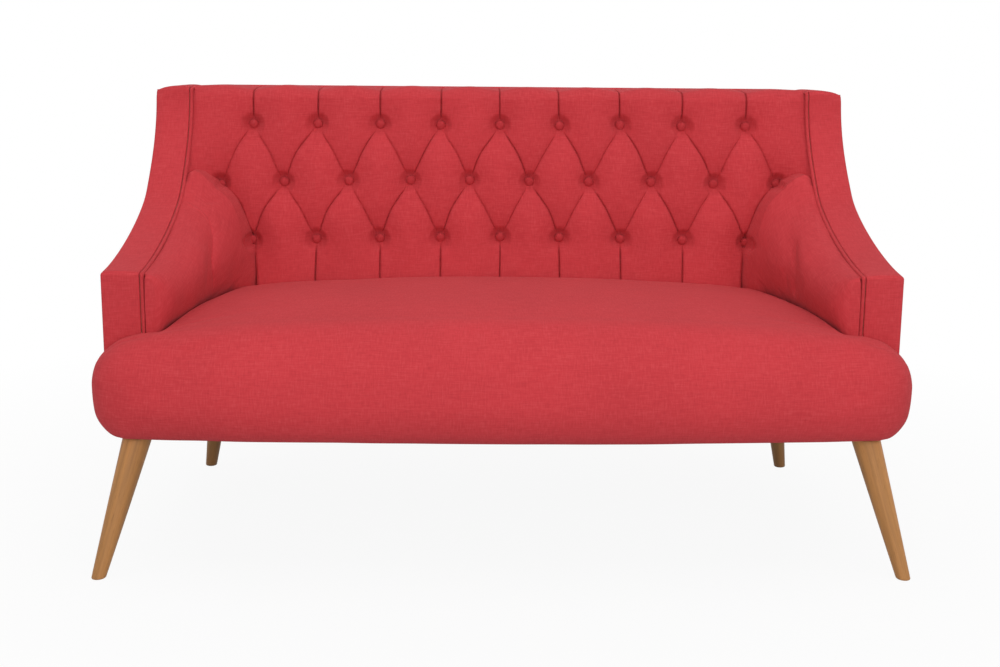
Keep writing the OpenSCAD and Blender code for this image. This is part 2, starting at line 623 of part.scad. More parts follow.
// Direction of a path at its point i
function path_dir(p, i) = let (a = p[max(i - 1, 0)], b = p[min(i + 1, len(p) - 1)]) (b - a) / norm(b - a);
module arm_piping(side) color(cloth_deep) mirrored(side) loft([for (i = [len(piping_path) - 1:-1:0])
    let (p = piping_path[i], t = path_dir(piping_path, i)) [for (a = [22.5:45:337.5])
        [inner_x - piping_in + piping_in * cos(a), p[0] + piping_in * sin(a) * t[1],
            p[1] - piping_in * sin(a) * t[0]]]]);

module outside_arm(side) color(cloth_red) mirrored(side)
    yz_plate(arm_side(band_t, underside_h), half_w - skin_t, half_w);

module outside_back() color(cloth_red) yz_plate([
    [rear_y(underside_h) - skin_t, underside_h], [rear_y(stile_top_z) - skin_t, stile_top_z],
    [rear_y(stile_top_z), stile_top_z], [rear_y(underside_h), underside_h]], -half_w, half_w);

dust_rear_y = rear_rail_y + rail_t - 1;
module dust_cover() color(black_cloth) difference() {
    translate([0, 0, frame_z - dust_t]) {
        linear_extrude(dust_t) polygon(concat([for (x = bow_xs(rail_end_x)) [x, rail_y(x)]],
            [[rail_end_x, arm_y], [inner_x, arm_y], [inner_x, arm_y + band_t],
                [half_w - skin_t, arm_y + band_t],
                [half_w - skin_t, dust_rear_y], [skin_t - half_w, dust_rear_y],
                [skin_t - half_w, arm_y + band_t], [-inner_x, arm_y + band_t], [-inner_x, arm_y],
                [-rail_end_x, arm_y]]));
    }
    at_plates() translate([-plate_w / 2 - 0.5, -plate_w / 2 - 0.5, -5])
        cube([plate_w + 1, plate_w + 1, plate_t + 6]);
}

// Legs: each entry is side, top centre and foot centre
front_leg_top = [rail_end_x - 13.5, arm_y - 28];
rear_leg_top = [side_rail_x - 20, rear_rail_y - 5];
legs = [for (side = [-1, 1]) each [
    [side * front_leg_top[0], front_leg_top[1], side * front_splay_x, -front_splay_y],
    [side * rear_leg_top[0], rear_leg_top[1], side * rear_splay_x, rear_splay_y]]];
// Z runs down a leg's axis from its top centre
module along_leg(l) {
    v = [l[2], l[3], -underside_h];
    translate([l[0], l[1], underside_h]) rotate([0, acos(v[2] / norm(v)), atan2(v[1], v[0])]) children();
}
function leg_length(l) = norm([l[2], l[3], underside_h]);
bolt_up = 45;
bolt_down = 35;
seam_turn = 40;  // keeps a round face's seam off the corner of its slanted cut
module leg(l) color(oak) difference() {
    intersection() {
        along_leg(l) rotate([0, 0, seam_turn]) translate([0, 0, -20]) cylinder(h = leg_length(l) + 40,
            d1 = leg_top_d + 20 * (leg_top_d - leg_foot_d) / leg_length(l),
            d2 = leg_foot_d - 20 * (leg_top_d - leg_foot_d) / leg_length(l), $fn = 64);
        translate([l[0] - 150, l[1] - 150, 0]) cube([300, 300, underside_h]);
    }
    along_leg(l) rotate([0, 0, seam_turn]) translate([0, 0, -20])
        cylinder(h = 20 + bolt_down + 1, d = bolt_d + fit);
}
module leg_bores() { for (l = legs) along_leg(l) translate([0, 0, -bolt_up - 1])
    cylinder(h = bolt_up + 3, d = bolt_d + fit);
    at_plate_screws() translate([0, 0, -1]) cylinder(h = screw_l + 2, d = screw_d + fit); }
module leg_bolts() color(steel) for (l = legs) along_leg(l) translate([0, 0, -bolt_up])
    cylinder(h = bolt_up + bolt_down, d = bolt_d);

// Plates under the blocks, each kept inside the underside's edge
front_plate = [rail_end_x - plate_w / 2, arm_y - plate_w / 2];
rear_plate = [side_rail_x + 2 - plate_w / 2, rear_rail_y + rail_t - 1 - plate_w / 2];
module at_plates() {
    for (side = [-1, 1]) for (p = [front_plate, rear_plate])
        translate([side * p[0], p[1], underside_h]) children();
}
screw_l = 18;
screw_in = 8;
module at_plate_screws() {
    at_plates() for (a = [-1, 1]) for (b = [-1, 1])
        translate([a * (plate_w / 2 - screw_in), b * (plate_w / 2 - screw_in), 0]) children();
}
module leg_plates() color(steel) difference() {
    at_plates() translate([-plate_w / 2, -plate_w / 2, 0]) cube([plate_w, plate_w, plate_t]);
    for (l = legs) along_leg(l) translate([0, 0, -12]) cylinder(h = 24, d = bolt_d + 1);
    at_plate_screws() {
        translate([0, 0, -1]) cylinder(h = plate_t + 2, d = screw_d + fit);
        translate([0, 0, -0.01]) cylinder(h = screw_d / 2, d1 = 2 * screw_d + fit, d2 = screw_d + fit);
    }
}
module plate_screws() color(steel) at_plate_screws() {
    cylinder(h = screw_l, d = screw_d);
    cylinder(h = screw_d / 2, d1 = 2 * screw_d, d2 = screw_d);
}

front_rail();
rear_rail();
side_rail(-1);  // side_rail_left
side_rail(1);  // side_rail_right
seat_brace();
front_leg_blocks();
rear_leg_blocks();
arm_inner_ply(-1);  // arm_inner_ply_left
arm_inner_ply(1);  // arm_inner_ply_right
arm_outer_ply(-1);  // arm_outer_ply_left
arm_outer_ply(1);  // arm_outer_ply_right
arm_former(-1);  // arm_former_left
arm_former(1);  // arm_former_right
back_stile(-1);  // back_stile_left
back_stile(1);  // back_stile_right
back_top_rail();
back_bottom_rail();
back_uprights();
back_board();
rail_dowels();
back_dowels();
arm_bolts();
arm_bolt_nuts();
back_bolts();
back_bolt_nuts();
webbing_long();
webbing_cross();
seat_hessian();
seat_pad();
back_pad();
back_buttons();
button_ties();
arm_pad(-1);  // arm_pad_left
arm_pad(1);  // arm_pad_right
arm_band(-1);  // arm_band_left
arm_band(1);  // arm_band_right
arm_piping(-1);  // arm_piping_left
arm_piping(1);  // arm_piping_right
outside_arm(-1);  // outside_arm_left
outside_arm(1);  // outside_arm_right
outside_back();
dust_cover();
leg(legs[0]);  // leg_front_left
leg(legs[1]);  // leg_rear_left
leg(legs[2]);  // leg_front_right
leg(legs[3]);  // leg_rear_right
leg_plates();
leg_bolts();
plate_screws();
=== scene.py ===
"""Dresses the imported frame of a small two-seater sofa: its buttoned back, bench seat, arms, piping,
legs and finishes. Places come from the frame. Shapes are worked out in millimetres, with X towards
the sitter's left-hand arm, Y towards the back and Z up, and become metres when a mesh is made."""

import json
import math

import bmesh
import bpy
import numpy as np
from mathutils import Matrix, Vector


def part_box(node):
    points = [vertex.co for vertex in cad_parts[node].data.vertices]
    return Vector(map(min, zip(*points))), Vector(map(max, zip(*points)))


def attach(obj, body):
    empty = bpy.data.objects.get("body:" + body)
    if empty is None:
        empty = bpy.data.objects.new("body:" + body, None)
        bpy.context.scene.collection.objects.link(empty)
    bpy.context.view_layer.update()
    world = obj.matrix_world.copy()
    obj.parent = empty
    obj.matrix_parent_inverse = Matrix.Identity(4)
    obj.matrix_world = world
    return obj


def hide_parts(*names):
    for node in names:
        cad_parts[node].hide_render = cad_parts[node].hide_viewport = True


bl_info = {
    "name": "Buttoned Two-Seater Sofa",
    "version": (1, 0, 0),
    "blender": (4, 5, 0),
    "location": "3D Viewport > Sidebar > Sofa",
    "description": "Upholsters and finishes the frame of a small sofa with a deep-buttoned back",
    "category": "Object",
}

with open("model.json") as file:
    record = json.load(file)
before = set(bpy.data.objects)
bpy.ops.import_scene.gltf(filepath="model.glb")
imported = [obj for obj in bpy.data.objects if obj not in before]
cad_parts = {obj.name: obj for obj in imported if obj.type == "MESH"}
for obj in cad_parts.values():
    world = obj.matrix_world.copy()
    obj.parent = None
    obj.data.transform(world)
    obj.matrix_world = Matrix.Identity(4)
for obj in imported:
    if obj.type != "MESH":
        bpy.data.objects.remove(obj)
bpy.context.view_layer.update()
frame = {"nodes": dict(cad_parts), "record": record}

# Sizes read from the frame, in millimetres


def span(node):
    """Lowest and highest corner of a frame node in millimetres."""
    low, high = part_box(node)
    return [v * 1000 for v in low], [v * 1000 for v in high]


seat_low, seat_high = span("seat_pad")
band_low, band_high = span("arm_band_right")
back_low, back_high = span("back_pad")
rail_low, rail_high = span("front_rail")
pad_low, _ = span("arm_pad_right")
floor_cloth_low, floor_cloth_high = span("dust_cover")

NOSE_Y = seat_low[1]
SEAT_END_X = seat_high[0]
UNDERSIDE_Z = band_low[2]
INNER_X = band_low[0]
OUTER_X = band_high[0]
ARM_Y = band_low[1]
WING_Z = band_high[2]
REAR_TOP_Y = band_high[1]
BACK_Z = back_high[2]
BACK_LOW_Z = back_low[2]
RAIL_Y = rail_low[1]
RAIL_END_X = rail_high[0]
PAD_Z = pad_low[2]
BAND_T = 8
PIPING_R = 3.5

# Sizes of the upholstery that the frame's boxes don't give
ARM_FRONT_Z = 481
SEAT_CROWN_Z = 424
SEAT_CROWN_RUN = 200
SEAT_BOW = 27
SEAT_BOW_END_X = OUTER_X - 50
SEAT_BACK_Y = 150
BACK_FOOT_Z = 410
RECLINE = math.radians(14)
BACK_T = 70
REAR_FOOT_Y = 285
WING_Y = 226
ARM_BED = 26
BUTTON_PITCH = 118
ROW_PITCH = 105
TOP_ROW_Z = BACK_Z - 74
SHORT_ROW = 9
TUFT_DEPTH = 30
SHORT_END_X = (SHORT_ROW - 1) / 2 * BUTTON_PITCH
LONG_END_X = SHORT_END_X + BUTTON_PITCH / 2
ROWS_Z = [TOP_ROW_Z, TOP_ROW_Z - ROW_PITCH, TOP_ROW_Z - 2 * ROW_PITCH]
NOSE_IN = 47
NOSE_TOP_IN = 110
NOSE_Z = UNDERSIDE_Z + 83
SEAT_TUCK = 10

# How the button pattern is bowed and drawn by hand
BOW_OUT = 7
BOW_IN = 2.2
DRAWN_IN = 7
DRAWN_DOWN = 7
END_SAG = 6
END_SAG_MORE_LEFT = 4

# Play between a piece and what it lies against
PLAY = 0.4
COVER_PLAY = 1.2

# Shape rules


def smooth(low, high, v):
    """Eased step from 0 at low to 1 at high."""
    t = np.clip((np.asarray(v, float) - low) / (high - low), 0, 1)
    return t * t * (3 - 2 * t)


def mix(a, b, t):
    """The value t of the way from a to b."""
    return a + (b - a) * t


def round_in(edge, r):
    """How far a rounded corner of radius r has fallen back at a distance from its edge."""
    e = np.clip(np.asarray(edge, float), 0, r)
    return r * (1 - np.sqrt(np.clip(1 - ((r - e) / r) ** 2, 0, 1)))


def bell(v, width):
    """A hump that is 1 at 0 and has faded at about twice its width."""
    return np.exp(-((v / width) ** 2))


def ripple(a, b, size, seed):
    """Smooth seeded unevenness of about -1 to 1 over two lengths."""
    cells = 64
    table = np.random.default_rng(seed).uniform(-1, 1, (cells, cells))
    a, b = np.asarray(a, float) / size + 31.7, np.asarray(b, float) / size + 17.3
    i, j = np.floor(a).astype(int), np.floor(b).astype(int)
    s, t = smooth(0, 1, a - i), smooth(0, 1, b - j)

    def at(di, dj):
        return table[(i + di) % cells, (j + dj) % cells]

    return mix(mix(at(0, 0), at(1, 0), s), mix(at(0, 1), at(1, 1), s), t)


def bezier(corners, t):
    """Points and directions of a cubic curve at the given shares of its way."""
    p, t = np.asarray(corners, float), np.asarray(t, float)[:, None]
    s = 1 - t
    points = s**3 * p[0] + 3 * s * s * t * p[1] + 3 * s * t * t * p[2] + t**3 * p[3]
    way = s * s * (p[1] - p[0]) + 2 * s * t * (p[2] - p[1]) + t * t * (p[3] - p[2])
    return points, way / np.linalg.norm(way, axis=1, keepdims=True)


def along(points):
    """Length run from the first point to each point."""
    steps = np.linalg.norm(np.diff(points, axis=0), axis=-1)
    return np.concatenate([np.zeros((1, *steps.shape[1:])), np.cumsum(steps, axis=0)])


def looped(rings):
    """Rings with their first point again at the end."""
    return np.concatenate([rings, rings[:, :1]], axis=1)


def around_of(rings):
    """Length run round each looped ring."""
    return along(np.swapaxes(rings, 0, 1)).T


def of_side(name, side):
    """A name for the left or the right piece of a pair."""
    return name + ("_left" if side < 0 else "_right")


def bow(x):
    """How far the seat's front edge bows back at x."""
    return SEAT_BOW * np.minimum(np.abs(x) / SEAT_BOW_END_X, 1) ** 2


def rail_y(x):
    """Front face of the bowed front rail."""
    return RAIL_Y + bow(x)


def rear_y(z):
    """The sofa's raked rear face."""
    return REAR_FOOT_Y + (REAR_TOP_Y - REAR_FOOT_Y) * (z - UNDERSIDE_Z) / (WING_Z - UNDERSIDE_Z)


def back_y(z, depth):
    """The reclined back at height z, at a depth square to its face."""
    return SEAT_BACK_Y + (z - BACK_FOOT_Z) * math.tan(RECLINE) + depth / math.cos(RECLINE)


# The arm's edge as two curves in Y and Z, from the front corner through a middle point to the wing
SWOOP_ANGLE = math.radians(43)
SWOOP_MID = np.array([WING_Y - 112, WING_Z - 183])
SWOOP_WAY = np.array([math.cos(SWOOP_ANGLE), math.sin(SWOOP_ANGLE)])
SWOOP = [
    [(ARM_Y, ARM_FRONT_Z), (ARM_Y + 118, ARM_FRONT_Z + 7), SWOOP_MID - 57 * SWOOP_WAY, SWOOP_MID],
    [SWOOP_MID, SWOOP_MID + 65 * SWOOP_WAY, (WING_Y, WING_Z - 77), (WING_Y, WING_Z)],
]
FRONT_CORNER_R = 6
WING_CORNER_R = 9
REAR_CORNER_R = 4


def outward(way):
    """The side of a direction in Y and Z that faces out of the arm."""
    return np.stack([-way[..., 1], way[..., 0]], axis=-1)


def corner_arc(corner, before, after, r, steps):
    """Points and outward sides of an arc that rounds a corner between two directions."""
    turn = math.acos(float(np.clip(np.dot(before, after), -1, 1)))
    centre = corner - before * r * math.tan(turn / 2) - outward(before) * r
    share = np.linspace(0, 1, steps)[:, None]
    sides = np.sin((1 - share) * turn) * outward(before) + np.sin(share * turn) * outward(after)
    sides /= np.linalg.norm(sides, axis=1, keepdims=True)
    return centre + sides * r, sides


def arm_edge(low_z, step=4.0):
    """Points and outward sides in Y and Z along the arm's edge: up its front, round the corner, up
    the swoop, over the top of the wing and round to the rear."""
    up, back = np.array([0.0, 1.0]), np.array([1.0, 0.0])
    low, low_way = bezier(SWOOP[0], np.linspace(0, 1, 110))
    high, high_way = bezier(SWOOP[1], np.linspace(0, 1, 90)[1:])
    swoop, way = np.concatenate([low, high]), np.concatenate([low_way, high_way])
    kept = (along(swoop) > FRONT_CORNER_R) & (swoop[:, 1] < WING_Z - WING_CORNER_R - 1)
    front_turn = corner_arc(swoop[0], up, way[0], FRONT_CORNER_R, 8)
    wing_turn = corner_arc(np.array([WING_Y, WING_Z]), up, back, WING_CORNER_R, 10)
    rear_way = np.array([rear_y(0) - rear_y(1), -1.0])
    rear_way /= np.linalg.norm(rear_way)
    rear_turn = corner_arc(np.array([REAR_TOP_Y, WING_Z]), back, rear_way, REAR_CORNER_R, 7)
    front = np.array([[ARM_Y, z] for z in np.arange(low_z, ARM_FRONT_Z - FRONT_CORNER_R - 1, step)])
    top_ys = np.arange(WING_Y + WING_CORNER_R + step, REAR_TOP_Y - REAR_CORNER_R - 1, step)
    top = np.array([[y, WING_Z] for y in top_ys])
    rear_end = np.array([[rear_y(WING_Z - BAND_T), WING_Z - BAND_T]])
    parts = [
        (front, np.tile(outward(up), (len(front), 1))),
        front_turn,
        (swoop[kept], outward(way[kept])),
        wing_turn,
        (top, np.tile(outward(back), (len(top), 1))),
        rear_turn,
        (rear_end, outward(rear_way)[None]),
    ]
    return np.concatenate([p for p, _ in parts]), np.concatenate([n for _, n in parts])


def wing_front(z):
    """The arm edge's depth in Y at each height."""
    share = np.linspace(0, 1, 60)
    edge = np.concatenate([bezier(SWOOP[0], share)[0], bezier(SWOOP[1], share)[0][1:]])
    return np.interp(z, edge[:, 1], edge[:, 0])


# Where an arm cushion's face stands at the arm's front and at the foot of the back
ARM_FACE_FRONT_X = INNER_X - 48
ARM_FACE_REAR_X = INNER_X - 122
CREASE_LOW = 401
CREASE_HIGH = 612
CREASE_IN = 128
CREASE_POWER = 2.2
BUTTON_SAG = 8.5
BUTTON_SAG_MORE_LEFT = 2.5
BUTTON_SAG_WIDTH = 21
PIPING_SAG = 11


def arm_face_x(y):
    """The inner face of an arm cushion at depth y."""
    return mix(ARM_FACE_FRONT_X, ARM_FACE_REAR_X, (y - ARM_Y) / (SEAT_BACK_Y - ARM_Y))


def button_sag(x):
    """How far the crease sags beside the button that stands in it, deeper on the left."""
    depth = BUTTON_SAG - BUTTON_SAG_MORE_LEFT * np.sign(x)
    return depth * bell(np.abs(x) - LONG_END_X + 2, BUTTON_SAG_WIDTH)


def piping_sag(x):
    """How far the crease sags where it runs out under the piping."""
    return PIPING_SAG * smooth(INNER_X - 18, INNER_X, np.abs(x))


def crease_gap(x, z):
    """Distance from the arm cushion's crease on the back, above 0 on the back's side."""
    z = z + button_sag(x) + piping_sag(x)
    a = np.maximum((INNER_X - np.abs(x)) / CREASE_IN, 1e-3)
    b = np.maximum((z - CREASE_LOW) / (CREASE_HIGH - CREASE_LOW), 1e-3)
    k = CREASE_POWER
    slope = k * np.hypot(a ** (k - 1) / CREASE_IN, b ** (k - 1) / (CREASE_HIGH - CREASE_LOW))
    return (a**k + b**k - 1) / np.maximum(slope, 1e-4)


# Mesh making

OTHER_PLACE_ON_THE_ROLL = [3.1, 0.7]


class Shell:
    """Points, faces and cloth coordinates of one piece, gathered in millimetres."""

    def __init__(self):
        self.points = []
        self.faces = []
        self.cloth = []
        self.count = 0

    def grid(self, points, u, v, split=None):
        """Adds a sheet of quads over rows and columns of points, each one whole or cut in two:
        from its first corner where split is 1, and from its second where split is 2."""
        rows, columns = points.shape[:2]
        index = np.arange(rows * columns).reshape(rows, columns) + self.count
        corners = np.stack([index[:-1, :-1], index[:-1, 1:], index[1:, 1:], index[1:, :-1]], axis=-1)
        split = np.zeros(corners.shape[:2], int) if split is None else split
        self.faces += corners[split == 0].tolist()
        for way, halves in ((1, ((0, 1, 2), (0, 2, 3))), (2, ((1, 2, 3), (1, 3, 0)))):
            for half in halves:
                self.faces += corners[split == way][:, half].tolist()
        self.points.append(points.reshape(-1, 3))
        both = [np.broadcast_to(way, (rows, columns)) for way in (u, v)]
        self.cloth.append(np.stack(both, -1).reshape(-1, 2))
        self.count += rows * columns

    def tube(self, rings, run):
        """Adds rings joined one to the next, each closed on itself."""
        rings = looped(rings)
        self.grid(rings, np.reshape(run, (-1, 1)), around_of(rings))

    def slab(self, outer, inner, axes):
        """Adds two like sheets of points, and the strips that join them round their edges."""
        first, second = axes
        for sheet in (outer, inner[::-1]):
            self.grid(sheet, sheet[..., first], sheet[..., second])
        for a, b in ((outer[0], inner[0]), (inner[-1], outer[-1]), (inner[:, 0], outer[:, 0]),
                     (outer[:, -1], inner[:, -1])):
            self.grid(np.stack([a, b]), a[None, :, first], a[None, :, second])

    def cap(self, ring, shares=(0.96, 0.86, 0.66, 0.4), flip=False, bulge=0.0, out=(0, 0, 0)):
        """Closes a ring with smaller rings and a point in the middle."""
        middle = ring.mean(axis=0)
        out = np.asarray(out, float)
        sizes = [1.0, *shares]
        rings = [middle + (ring - middle) * s + out * bulge * math.sqrt(1 - s * s) for s in sizes]
        rings.append(np.tile(middle + out * bulge, (len(ring), 1)))
        rings = looped(np.array(rings[::-1] if flip else rings))
        axis = int(np.argmax(np.abs(out)))
        first, second = [a for a in range(3) if a != axis]
        self.grid(rings, rings[..., first], rings[..., second])

    def add(self, name, mirror=False):
        """Makes the mesh object in metres, its doubles merged and its faces turned outwards.
        Mirrored, its cloth is cut from another place of the roll."""
        points = np.concatenate(self.points) / 1000
        cloth = np.concatenate(self.cloth) / 1000
        if mirror:
            points = points * [-1, 1, 1]
            cloth = cloth * [-1, 1] + OTHER_PLACE_ON_THE_ROLL
        mesh = bpy.data.meshes.new(name)
        mesh.from_pydata(points.tolist(), [], self.faces)
        layer = mesh.uv_layers.new(name="cloth")
        corner = np.empty(len(mesh.loops), np.int32)
        mesh.loops.foreach_get("vertex_index", corner)
        layer.data.foreach_set("uv", cloth[corner].astype(np.float32).ravel())
        tidy(mesh)
        shade_smooth(mesh)
        return new_object(name, mesh)


def new_object(name, data):
    """An object for a mesh, a lamp or a camera, put in the scene."""
    made = bpy.data.objects.new(name, data)
    bpy.context.scene.collection.objects.link(made)
    return made


def shade_smooth(mesh):
    """Shades every face of a mesh smoothly."""
    mesh.polygons.foreach_set("use_smooth", np.ones(len(mesh.polygons), bool))


def tidy(mesh):
    """Merges doubles, drops flat faces and turns the closed skin's faces outwards."""
    merge = 0.02 / 1000
    work = bmesh.new()
    work.from_mesh(mesh)
    bmesh.ops.remove_doubles(work, verts=work.verts, dist=merge)
    bmesh.ops.dissolve_degenerate(work, edges=work.edges, dist=merge / 4)
    if work.calc_volume(signed=True) < 0:
        bmesh.ops.reverse_faces(work, faces=work.faces)
    work.to_mesh(mesh)
    work.free()
    mesh.update()


def vertices_of(piece):
    """A mesh's points as an array in metres."""
    co = np.empty(len(piece.data.vertices) * 3, np.float32)
    piece.data.vertices.foreach_get("co", co)
    return co.reshape(-1, 3).astype(float)


def move_vertices(piece, points):
    """Writes an array of points in metres back to a mesh."""
    piece.data.vertices.foreach_set("co", np.asarray(points, np.float32).ravel())
    piece.data.update()


def write_vectors(mesh, name, rows):
    """Stores a direction or a place for each point of a mesh."""
    layer = mesh.attributes.new(name, "FLOAT_VECTOR", "POINT")
    layer.data.foreach_set("vector", rows.astype(np.float32).ravel())


def dress(piece, material, slot, *stands_for):
    """Gives a piece its material, ties it to the sofa and hides what it stands for. The slot is not
    used.
    """
    if material:
        piece.data.materials.clear()
        piece.data.materials.append(material)
    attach(piece, "root")
    if stands_for:
        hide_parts(*stands_for)


# Shader making


class Value:
    """A shader socket that takes part in sums written in Python."""

    def __init__(self, graph, socket):
        self.graph = graph
        self.socket = socket

    def _sum(self, operation, *terms):
        """One step of a sum, as a node."""
        return self.graph.add("ShaderNodeMath", {"operation": operation}, dict(enumerate(terms)))

    def __add__(self, other):
        return self._sum("ADD", self, other)

    def __radd__(self, other):
        return self._sum("ADD", self, other)

    def __sub__(self, other):
        return self._sum("SUBTRACT", self, other)

    def __rsub__(self, other):
        return self._sum("SUBTRACT", other, self)

    def __mul__(self, other):
        return self._sum("MULTIPLY", self, other)

    def __rmul__(self, other):
        return self._sum("MULTIPLY", self, other)

    def __pow__(self, other):
        return self._sum("POWER", self, other)

    def __mod__(self, other):
        return self._sum("FLOORED_MODULO", self, other)

    def floor(self):
        """The whole number below the value."""
        return self._sum("FLOOR", self)

    def sine(self):
        """The sine of the value."""
        return self._sum("SINE", self)

    def size(self):
        """The value without its sign."""
        return self._sum("ABSOLUTE", self)

    def span(self, low, high, to_low=0.0, to_high=1.0):
        """The value remapped from one range to another and held inside it."""
        sockets = {"Value": self, 1: low, 2: high, 3: to_low, 4: to_high}
        return self.graph.add("ShaderNodeMapRange", {"clamp": True}, sockets)


class Graph:
    """The nodes of one material, ending in its Principled shader."""

    def __init__(self, name):
        self.material = bpy.data.materials.new(name)
        self.material.use_nodes = True
        self.nodes = self.material.node_tree.nodes
        self.links = self.material.node_tree.links
        self.shader = next(n for n in self.nodes if n.type == "BSDF_PRINCIPLED")

    def add(self, kind, settings=None, sockets=None, output=0):
        """Adds a node: its settings first, then the values or links of its sockets."""
        node = self.nodes.new(kind)
        for name, setting in (settings or {}).items():
            setattr(node, name, setting)
        for name, value in (sockets or {}).items():
            self.feed(node.inputs[name], value)
        return Value(self, node.outputs[output])

    def feed(self, socket, value):
        """Links a Value to a socket, or sets the socket's own value."""
        if isinstance(value, Value):
            self.links.new(value.socket, socket)
        elif socket.type == "RGBA" and len(value) == 3:
            socket.default_value = (*value, 1)
        else:
            socket.default_value = value

    def mix_colour(self, share, a, b):
        """The colour that lies a share of the way from one to another."""
        settings = {"data_type": "RGBA", "blend_type": "MIX", "clamp_factor": True}
        return self.add("ShaderNodeMix", settings, {0: share, 6: a, 7: b}, output=2)

    def surface(self, **sockets):
        """Feeds the Principled shader by socket names written with underscores."""
        for name, value in sockets.items():
            self.feed(self.shader.inputs[name.replace("_", " ")], value)
        return self.material

    def noise(self, vector, scale, detail=2.0, roughness=0.5, distortion=0.0):
        """Noise of about 0 to 1."""
        sockets = {"Vector": vector, "Scale": scale, "Detail": detail, "Roughness": roughness,
                   "Distortion": distortion}
        return self.add("ShaderNodeTexNoise", {"noise_dimensions": "3D"}, sockets)

    def vector(self, x, y, z):
        """A vector from three values."""
        return self.add("ShaderNodeCombineXYZ", None, {0: x, 1: y, 2: z})

    def parts(self, vector):
        """The X, Y and Z values of a vector."""
        node = self.nodes.new("ShaderNodeSeparateXYZ")
        self.feed(node.inputs[0], vector)
        return [Value(self, socket) for socket in node.outputs]

    def cloth_place(self):
        """The piece's own cloth coordinates in metres."""
        return self.parts(self.add("ShaderNodeUVMap", {"uv_map": "cloth"}))[:2]

    def place(self):
        """The point's place on the whole sofa in metres."""
        return self.add("ShaderNodeTexCoord", output=3)

    def bump(self, height, strength, distance):
        """A surface direction raised by a height."""
        sockets = {"Strength": strength, "Distance": distance, "Height": height}
        return self.add("ShaderNodeBump", None, sockets)


# Depth in metres in the legs' board at which the front legs' part ends and the rear legs' part starts;
# across it comes in the painted shade that darkens the rear legs
REAR_SHADE_START = 0.05
REAR_SHADE_FULL = 0.06


def scaled(colour, k):
    """A colour made lighter or darker."""
    return tuple(min(1.0, c * k) for c in colour[:3])


def woven_cloth(name, colour, pitch, slub, bias=False):
    """Plain-woven linen-like cloth with thick and thin threads."""
    g = Graph(name)
    u, v = g.cloth_place()
    if bias:
        u, v = (u + v) * 0.7071, (u - v) * 0.7071
    a, b = u * (1 / pitch), v * (1 / pitch)
    # Each thread is round, and passes over its neighbours in turn
    checker = ((a.floor() + b.floor()) % 2).span(0.4, 0.6)
    warp, weft = (a * math.pi).sine().size(), (b * math.pi).sine().size()
    thread = warp * checker + weft * (1 - checker)
    # Long thick places in the threads show pale, and thin ones dark
    warp_slub = g.noise(g.vector(a * 0.42, b * 0.06, 3.1), 1.0, 2.0, 0.6)
    weft_slub = g.noise(g.vector(a * 0.05, b * 0.42, 7.7), 1.0, 2.0, 0.6)
    light = warp_slub.span(0.5, 0.72) * 0.95 + weft_slub.span(0.5, 0.72) * 0.85
    dark = weft_slub.span(0.47, 0.28) * 0.7 + warp_slub.span(0.47, 0.28) * 0.7
    tone = g.noise(g.place(), 5.0, 3.0, 0.55)
    fibre = g.noise(g.vector(a * 3.0, b * 3.0, 1.3), 1.0, 2.0, 0.6)
    faded = tuple(mix(c, 0.62, 0.05) for c in scaled(colour, 1.14))
    body = g.mix_colour(tone.span(0.3, 0.7), scaled(colour, 0.95), scaled(colour, 1.04))
    body = g.mix_colour(light * slub, body, faded)
    body = g.mix_colour(dark * slub, body, scaled(colour, 0.72))
    # Painted shade in the hollows between threads, with fibres of random tone
    body = g.mix_colour((1 - thread) * 0.22 + fibre * 0.1, body, scaled(colour, 0.55))
    height = thread * (0.7 + light * 0.5) + fibre * 0.25
    normal = g.bump(height, 0.42, pitch * 0.3)
    return g.surface(Base_Color=body, Roughness=fibre.span(0.2, 0.8, 0.84, 0.95), Normal=normal,
                     Sheen_Weight=0.03, Sheen_Roughness=0.5, Specular_IOR_Level=0.12)


def oiled_oak(name, colour):
    """Straight-grained oak under a thin satin varnish, with its grain along the piece, and painted
    shade that darkens the rear legs where they stand under the seat."""
    g = Graph(name)
    grain = g.add("ShaderNodeAttribute", {"attribute_name": "grain"}, output=1)
    across, through, length = g.parts(grain)
    swirl = g.noise(g.vector(across * 9, through * 9, length * 1.6), 1.0, 2.0, 0.5)
    ring = g.noise(g.vector(across * 95 + swirl * 1.2, through * 22, length * 2.4), 1.0, 3.0, 0.6)
    pore = g.noise(g.vector(across * 900, through * 900, length * 22), 1.0, 1.0, 0.5)
    fleck = g.noise(g.vector(across * 260, through * 260, length * 40), 1.0, 2.0, 0.5)
    rear_leg_shade = through.span(REAR_SHADE_START, REAR_SHADE_FULL)
    body = g.mix_colour(ring.span(0.3, 0.7), scaled(colour, 1.16), scaled(colour, 0.66))
    body = g.mix_colour(swirl.span(0.4, 0.7) * 0.4, body, scaled(colour, 0.62))
    body = g.mix_colour(pore.span(0.62, 0.78) * 0.5, body, scaled(colour, 0.42))
    body = g.mix_colour(fleck.span(0.62, 0.8) * 0.2, body, scaled(colour, 1.35))
    # Painted shade: the rear legs are darkened as if they stood in the shade under the seat
    body = g.mix_colour(rear_leg_shade * 0.6, body, scaled(colour, 0.3))
    rough = pore.span(0.55, 0.8, 0.5, 0.66)
    height = pore.span(0.6, 0.75, 1.0, 0.0) + ring * 0.3
    return g.surface(Base_Color=body, Roughness=rough, Normal=g.bump(height, 0.25, 0.0002),
                     Coat_Weight=0.06, Coat_Roughness=0.4, Specular_IOR_Level=0.22)


